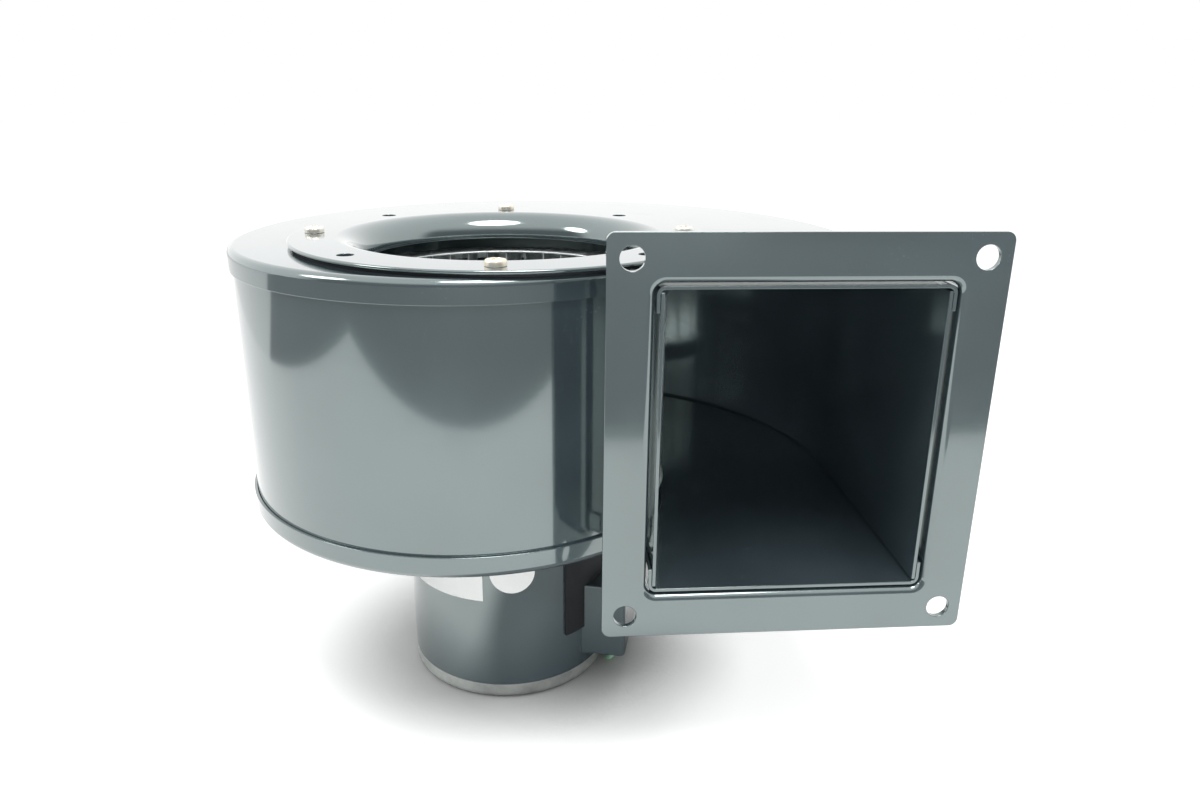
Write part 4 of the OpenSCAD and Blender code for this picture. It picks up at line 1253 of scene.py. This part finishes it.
class BLOWER_OT_motor(bpy.types.Operator):
    """Make the motor's shell"""

    bl_idname = "blower.motor"
    bl_label = "Motor shell"

    def execute(self, context):
        s = sizes("motor")
        out = SHELL_HIGH[0]
        shell = Skin()
        shell.revolve(bar_section(out - s.wall, out, SHELL_LOW[2], SHELL_HIGH[2], s.edge), (0, 0, 0))
        shell.make("motor_shell_tube", "housing", "black_enamel", ["motor_shell"])
        return {"FINISHED"}


class BLOWER_OT_terminal_box(bpy.types.Operator):
    """Make the terminal box with its rounded edges, and a dark rubber band on the shell round it, a painted
    dark reflection beside the box
    """

    bl_idname = "blower.terminal_box"
    bl_label = "Terminal box"

    def execute(self, context):
        s = sizes("motor")
        low, high = node_box("terminal_box")
        c, n = math.cos(s.box_turn), math.sin(s.box_turn)
        across, along = np.array([c, n, 0.0]), np.array([-n, c, 0.0])
        plane = Plane((0, 0, low[2]), across, along)
        half, reach, r = s.box_width / 2, s.box_reach, s.box_corner
        shell = SHELL_HIGH[0] + 0.1 * MM
        start = math.degrees(math.asin(half / shell))
        foot = shell * math.cos(math.radians(start))
        height = high[2] - low[2]
        outer = [
            line((foot, -half), (reach - r, -half)),
            arc((reach - r, -half + r), r, 270, 360, 10),
            line((reach, -half + r), (reach, half - r)),
            arc((reach - r, half - r), r, 0, 90, 10),
            line((reach - r, half), (foot, half)),
        ]
        seat = arc((0, 0), shell, start, -start, 40)
        skin = Skin()
        skin.carry(outer, cut_edge_section(0, height, s.box_edge), plane)
        skin.carry([seat], [line((0, 0), (0, height))], plane)
        around = np.concatenate([loop(outer, s.box_edge), seat[0][1:-1]])
        skin.fill([around], plane, 0, -1)
        skin.fill([around], plane, height, 1)
        skin.make("terminal_box_cover", "housing", "black_enamel", ["terminal_box"])
        # A dark rubber sheet laid on the shell, wider than the box: a painted dark reflection beside the box
        dark_band = Skin()
        middle, spread = math.degrees(s.box_turn), math.degrees(s.pad_spread)
        band = arc((0, 0), SHELL_HIGH[0], middle - spread, middle + spread, 90)
        rounding = s.pad_sheet * 0.3
        section = bar_section(-0.05 * MM, s.pad_sheet, s.pad_foot, SHELL_HIGH[2] - 1 * MM, rounding)
        dark_band.carry([band], section, Plane((0, 0, 0)), ends=rounding)
        dark_band.make("terminal_box_pad", "housing", "rubber")
        return {"FINISHED"}


class BLOWER_OT_labels(bpy.types.Operator):
    """Lay two bare paper labels on the motor's shell"""

    bl_idname = "blower.labels"
    bl_label = "Bare labels"

    def execute(self, context):
        u, a = np.linspace(0, 1, 14)[:, None], np.linspace(0, FULL_TURN, 73)[None]
        r = 9.2 * MM * u
        wrap_patch("round_label", -87.3, 59.3 * MM, r * np.cos(a), r * np.sin(a), 1 - u**14 + 0 * a)
        u, v = np.linspace(-1, 1, 41)[:, None], np.linspace(-1, 1, 25)[None]
        across, up = 17.6 * MM * u + 0 * v, 12 * MM * v + 0 * u
        wrap_patch("plain_label", -127, 58.2 * MM, across, up, (1 - u**40) * (1 - v**40))
        return {"FINISHED"}


def wrap_patch(name, turn, height, across, up, thick):
    """A flat patch laid round the shell: across becomes an angle, and thick its lift over the enamel."""
    radius = SHELL_HIGH[0]
    a = math.radians(turn) + across / radius
    lift = radius + 0.02 * MM + 0.13 * MM * thick
    skin = Skin()
    skin.grid(
        np.stack([lift * np.cos(a), lift * np.sin(a), height + up], -1),
        np.stack([np.cos(a), np.sin(a), 0 * a], -1),
    )
    skin.make(name, "housing", "black_enamel", finishes=["blank_label"])


# ---------------------------------------------------------------- leads

# The leads' route from the box to the start of the coil, in millimetres
LEAD_ROUTE = [
    (43.3, -25.6, 14), (43.3, -25.2, 11.9), (43.5, -24, 9), (43.8, -21.3, 5.8), (44.2, -17.7, 3.7),
    (44.7, -13.7, 3), (45.7, -7, 3), (46.9, 0, 3), (48.1, 7, 3), (49.5, 15, 3),
    (51, 25, 3), (52.4, 35, 3), (53.6, 46, 3), (54.8, 58, 3), (55.6, 70, 3),
    (56, 80, 3), (56, 90, 3),
]


def lead_path():
    """Middle line of the pair: the route, then turns that ease in by one diameter before the second."""
    s = sizes("leads")
    run = through(np.array(LEAD_ROUTE) * MM, 12)
    turns, ease_start, ease_length = 2.4, 0.72, 0.25
    a = np.linspace(0, turns * FULL_TURN, 1200)[1:]
    ease = np.clip((a - ease_start * FULL_TURN) / (ease_length * FULL_TURN), 0, 1)
    radius = s.coil_radius - s.diameter * ease * ease * (3 - 2 * ease)
    coil = np.stack([s.coil_x + radius * np.cos(a), s.coil_y + radius * np.sin(a), a * 0 + s.diameter / 2], 1)
    whole = np.concatenate([run, coil])
    at = np.concatenate([[0], np.cumsum(np.linalg.norm(np.diff(whole, axis=0), axis=1))])
    if at[-1] < s.length:
        raise RuntimeError("the coil's turns are shorter than the leads")
    stations = np.linspace(0, s.length, 900)
    return np.stack([np.interp(stations, at, whole[:, i]) for i in range(3)], 1), stations


def through(points, steps):
    """A smooth line through points: a cubic on each span, whose tangents come from the points beside it."""
    padded = np.concatenate([2 * points[:1] - points[1:2], points, 2 * points[-1:] - points[-2:-1]])
    p0, p1, p2, p3 = padded[:-3], padded[1:-2], padded[2:-1], padded[3:]
    t = np.linspace(0, 1, steps, endpoint=False)[None, :, None]
    p0, p1, p2, p3 = (p[:, None] for p in (p0, p1, p2, p3))
    square, cube = 2 * p0 - 5 * p1 + 4 * p2 - p3, 3 * p1 - p0 - 3 * p2 + p3
    cubic = 2 * p1 + (p2 - p0) * t + square * t**2 + cube * t**3
    return np.concatenate([cubic.reshape(-1, 3) / 2, points[-1:]])


class BLOWER_OT_leads(bpy.types.Operator):
    """Make the twisted pair of leads, its bared ends and the tie round its coil"""

    bl_idname = "blower.leads"
    bl_label = "Leads"

    def execute(self, context):
        s = sizes("leads")
        path, stations = lead_path()
        way = unit(np.gradient(path, axis=0))
        side = np.array([0.6, 0, 0.8])
        side = unit(side - (way @ side)[:, None] * way)
        over = np.cross(way, side)
        phase = FULL_TURN * stations / s.twist
        wire = s.diameter / 4
        pair = Skin()
        cut = int(np.searchsorted(stations, s.length - s.bared))
        for strand in (0, math.pi):
            turn = (phase + strand)[:, None]
            middle = path + wire * (np.cos(turn) * side + np.sin(turn) * over)
            tube(pair, middle[:cut], side[:cut], over[:cut], wire)
            bare = slice(cut - 1, None)
            tube(pair, middle[bare], side[bare], over[bare], wire * 0.5, mark=1)
        leads = pair.make(
            "twisted_leads", "housing", "green_insulation", ["lead_pair", "lead_coil"],
            ["green_insulation", "copper"],
        )
        tie = coil_tie()
        tuple(path[0])
        return {"FINISHED"}


def tube(skin, middle, side, over, radius, mark=0):
    """middle(s) + radius (cos a side + sin a over), closed at both ends by a dome."""
    a = np.linspace(0, FULL_TURN, 15)
    ring = np.cos(a)[None, :, None] * side[:, None] + np.sin(a)[None, :, None] * over[:, None]
    skin.grid(middle[:, None] + radius * ring, ring, mark)
    dome = np.linspace(0, math.pi / 2, 5)
    for at, way in ((0, middle[0] - middle[1]), (-1, middle[-1] - middle[-2])):
        way = unit(way)
        rings = ring[at][None] * np.cos(dome)[:, None, None]
        flat = 0.35 * np.sin(dome)[:, None, None] * way
        points = middle[at] + radius * (rings + flat)
        skin.grid(points, unit(rings + np.sin(dome)[:, None, None] * way), mark)


def coil_tie():
    """A flat tie round the coil's turns: a long round section carried round an upright loop across them."""
    s = sizes("leads")
    half = s.diameter / 2
    turn = math.radians(60)
    spoke = np.array([math.cos(turn), math.sin(turn), 0])
    along = np.array([-spoke[1], spoke[0], 0])
    reach = s.coil_radius - half
    thick, sunk, wide, slack = 0.9 * MM, 0.3 * MM, 1.3 * MM, 0.2 * MM
    centre = np.array([s.coil_x, s.coil_y, half + thick - sunk]) + reach * spoke
    plane = Plane(centre, spoke, Z_AXIS, along)
    skin = Skin()
    around = round_rectangle(2 * s.diameter - slack, s.diameter - slack, half - 0.11 * MM)
    skin.carry(around, bar_section(-sunk, thick - sunk, -wide, wide, 0.3 * MM), plane)
    return skin.make("coil_tie_band", "housing", "green_insulation", finishes=["cable_tie"])


# ---------------------------------------------------------------- stage

STAGE_MIDDLE = (0.03, 0, 0.12)
FLOOR_REACH = 6.0
FLOOR_COLOUR = (0.93, 0.935, 0.93)


class BLOWER_OT_stage(bpy.types.Operator):
    """Set the camera, the floor, the soft lights and the white surroundings"""

    bl_idname = "blower.stage"
    bl_label = "Stage"

    def execute(self, context):
        scene = context.scene
        scene.view_settings.view_transform = "Standard"
        set_camera(scene)
        set_floor(scene)
        set_world(scene)
        s = sizes("stage")
        soft_lamp(scene, "overhead_lamp", (0.1, -0.42, 1.25), s.lamp, 0.6)
        soft_lamp(scene, "overhead_left_lamp", (-1.25, -0.3, 1.1), s.lamp * 0.6, 0.55)
        soft_lamp(scene, "front_lamp", (0.1, -1.5, 0.24), s.front_lamp, 0.8).visible_glossy = False
        return {"FINISHED"}


def set_camera(scene):
    """Looks along the yaw and pitch, then rolls about that line."""
    s = sizes("stage")
    cp, sp, cy, sy = math.cos(s.pitch), math.sin(s.pitch), math.cos(s.yaw), math.sin(s.yaw)
    forward = Vector((sy * cp, cy * cp, -sp))
    level = Vector((cy, -sy, 0))
    right = math.cos(s.roll) * level + math.sin(s.roll) * level.cross(forward)
    data = bpy.data.cameras.new("front_camera")
    data.lens, data.sensor_width = s.lens, 36
    data.clip_start, data.clip_end = 0.01, 50
    camera = bpy.data.objects.new("front_camera", data)
    scene.collection.objects.link(camera)
    turned = Matrix((right, right.cross(forward), -forward)).transposed().to_4x4()
    camera.matrix_world = Matrix.Translation(Vector(s.place)) @ turned
    scene.camera = camera


def soft_lamp(scene, name, place, power, width):
    """A round area lamp that looks at the middle of the stage."""
    data = bpy.data.lights.new(name, "AREA")
    data.shape = "DISK"
    data.energy, data.size = power, width
    lamp = bpy.data.objects.new(name, data)
    lamp.location = place
    lamp.rotation_mode = "QUATERNION"
    lamp.rotation_quaternion = (Vector(STAGE_MIDDLE) - Vector(place)).to_track_quat("-Z", "Y")
    scene.collection.objects.link(lamp)
    return lamp


def soft_edge(value, at):
    """0 below a line and 1 above it, with a blurred edge."""
    blur = 0.012
    return value.step(at - blur, at + blur)


def set_floor(scene):
    """A wide pale floor, clear from below, that a mirror sees as white near the object and dim past that,
    with a painted shadow beside the motor and a painted contact shadow where the object is close.
    """
    s = sizes("stage")
    p = Paint(bpy.data.materials.new("pale_floor"))
    x, y, _ = p.parts(p.wire("ShaderNodeNewGeometry", "Position"))
    mirrored, camera, through_glass = p.rays("Glossy", "Camera", "Transmission")
    seen = camera + mirrored + through_glass
    behind, mirrored_white = 0.85, 0.86
    left = soft_edge(x, s.white_left)
    left = left + (1 - left) * soft_edge(y, s.white_behind) * behind
    # Mirrored rays see the floor dimmed in a circle beside the motor: a painted shadow of the housing
    away = ((x - s.shade_x) ** 2 + (y - s.shade_y) ** 2).math("SQRT")
    white = soft_edge(y, s.white_front) * left * away.step(s.shade_radius * 0.6, s.shade_radius)
    level = 1 - mirrored * (1 - s.dim - white * (mirrored_white - s.dim))
    grain = p.noise(p.place(), 40, 2) * 0.01
    # Where ambient occlusion finds the object close, the floor's colour and glow darken: a painted contact
    # shadow
    near = p.wire("ShaderNodeAmbientOcclusion", "AO", {"samples": 6}, {"Distance": 0.055})
    tone = p.mix(seen.clamp(), FLOOR_COLOUR, p.mix(near, (0.3, 0.3, 0.3), (0.7, 0.7, 0.7)))
    diffuse = p.wire("ShaderNodeBsdfDiffuse", 0, None, {"Color": p.mix(level, (0.0, 0.0, 0.0), tone)})
    glow = p.wire("ShaderNodeEmission", 0, None, {"Strength": seen * level * (0.7 * near**5 + grain)})
    both = p.wire("ShaderNodeAddShader", 0, None, {0: diffuse, 1: glow})
    below = p.wire("ShaderNodeNewGeometry", "Backfacing")
    clear = p.wire("ShaderNodeBsdfTransparent", 0)
    surface = p.wire("ShaderNodeMixShader", 0, None, {0: below, 1: both, 2: clear})
    p.join(surface, p.tree.nodes["Material Output"].inputs["Surface"])
    p.tree.nodes.remove(p.tree.nodes["Principled BSDF"])
    mesh = bpy.data.meshes.new("floor")
    corners = [(x, y, 0) for x, y in ((-1, -1), (1, -1), (1, 1), (-1, 1))]
    mesh.from_pydata((np.array(corners) * FLOOR_REACH).tolist(), [], [(0, 1, 2, 3)])
    mesh.materials.append(p.owner)
    floor = bpy.data.objects.new("floor", mesh)
    scene.collection.objects.link(floor)


def set_world(scene):
    """White for the camera, even light for the object, and for its gloss a white back and a dim front."""
    s = sizes("stage")
    scene.world = bpy.data.worlds.new("studio")
    p = Paint(scene.world)
    _, y, z = p.parts(p.wire("ShaderNodeTexCoord", "Generated"))
    backdrop, ceiling = 1.22, 1.25
    front = (0 - y).step(0.1, 0.4)
    above = z.step(0.35, 0.75)
    in_gloss = (backdrop - front * (backdrop - s.dim)) * (1 - above) + ceiling * above
    camera, through_glass, glossy = p.rays("Camera", "Transmission", "Glossy")
    direct = (camera + through_glass).clamp()
    level = direct + (1 - direct) * (glossy * in_gloss + (1 - glossy) * s.sky)
    surface = p.tree.nodes["Background"]
    p.join(level, surface.inputs["Strength"])
    p.join((1, 1, 1, 1), surface.inputs["Color"])


# ---------------------------------------------------------------- nodes that stay


class BLOWER_OT_node_finishes(bpy.types.Operator):
    """Give every node of the frame the finish of its material slot"""

    bl_idname = "blower.node_finishes"
    bl_label = "Node finishes"

    def execute(self, context):
        for part in frame["record"]["subparts"]:
            data = frame["nodes"][part["node"]].data
            data.materials.clear()
            data.materials.append(finish_of(part["material_slot"]))
        return {"FINISHED"}


class BLOWER_PT_panel(bpy.types.Panel):
    """Lists the fan's pieces and their sizes"""

    bl_idname = "BLOWER_PT_panel"
    bl_label = "Blower fan"
    bl_space_type = "VIEW_3D"
    bl_region_type = "UI"
    bl_category = "Blower"

    def draw(self, context):
        for operator in OPERATORS:
            self.layout.operator(operator.bl_idname)
        for name in GROUPS:
            box = self.layout.box()
            box.label(text=name.capitalize())
            group = sizes(name)
            for key in group.__annotations__:
                box.prop(group, key)


OPERATORS = [
    BLOWER_OT_stage,
    BLOWER_OT_leads,
    BLOWER_OT_node_finishes,
    BLOWER_OT_housing,
    BLOWER_OT_flange,
    BLOWER_OT_ring,
    BLOWER_OT_ring_screws,
    BLOWER_OT_wheel,
    BLOWER_OT_motor,
    BLOWER_OT_terminal_box,
    BLOWER_OT_labels,
]
CLASSES = [*GROUPS.values(), *OPERATORS, BLOWER_PT_panel]


def register():
    for cls in CLASSES:
        bpy.utils.register_class(cls)
    for name, group in GROUPS.items():
        setattr(bpy.types.Scene, "blower_" + name, PointerProperty(type=group))


def unregister():
    for name in GROUPS:
        delattr(bpy.types.Scene, "blower_" + name)
    for cls in reversed(CLASSES):
        bpy.utils.unregister_class(cls)


def main():
    register()
    for operator in OPERATORS:
        group, name = operator.bl_idname.split(".")
        getattr(getattr(bpy.ops, group), name)()


if __name__ == "__main__":
    main()
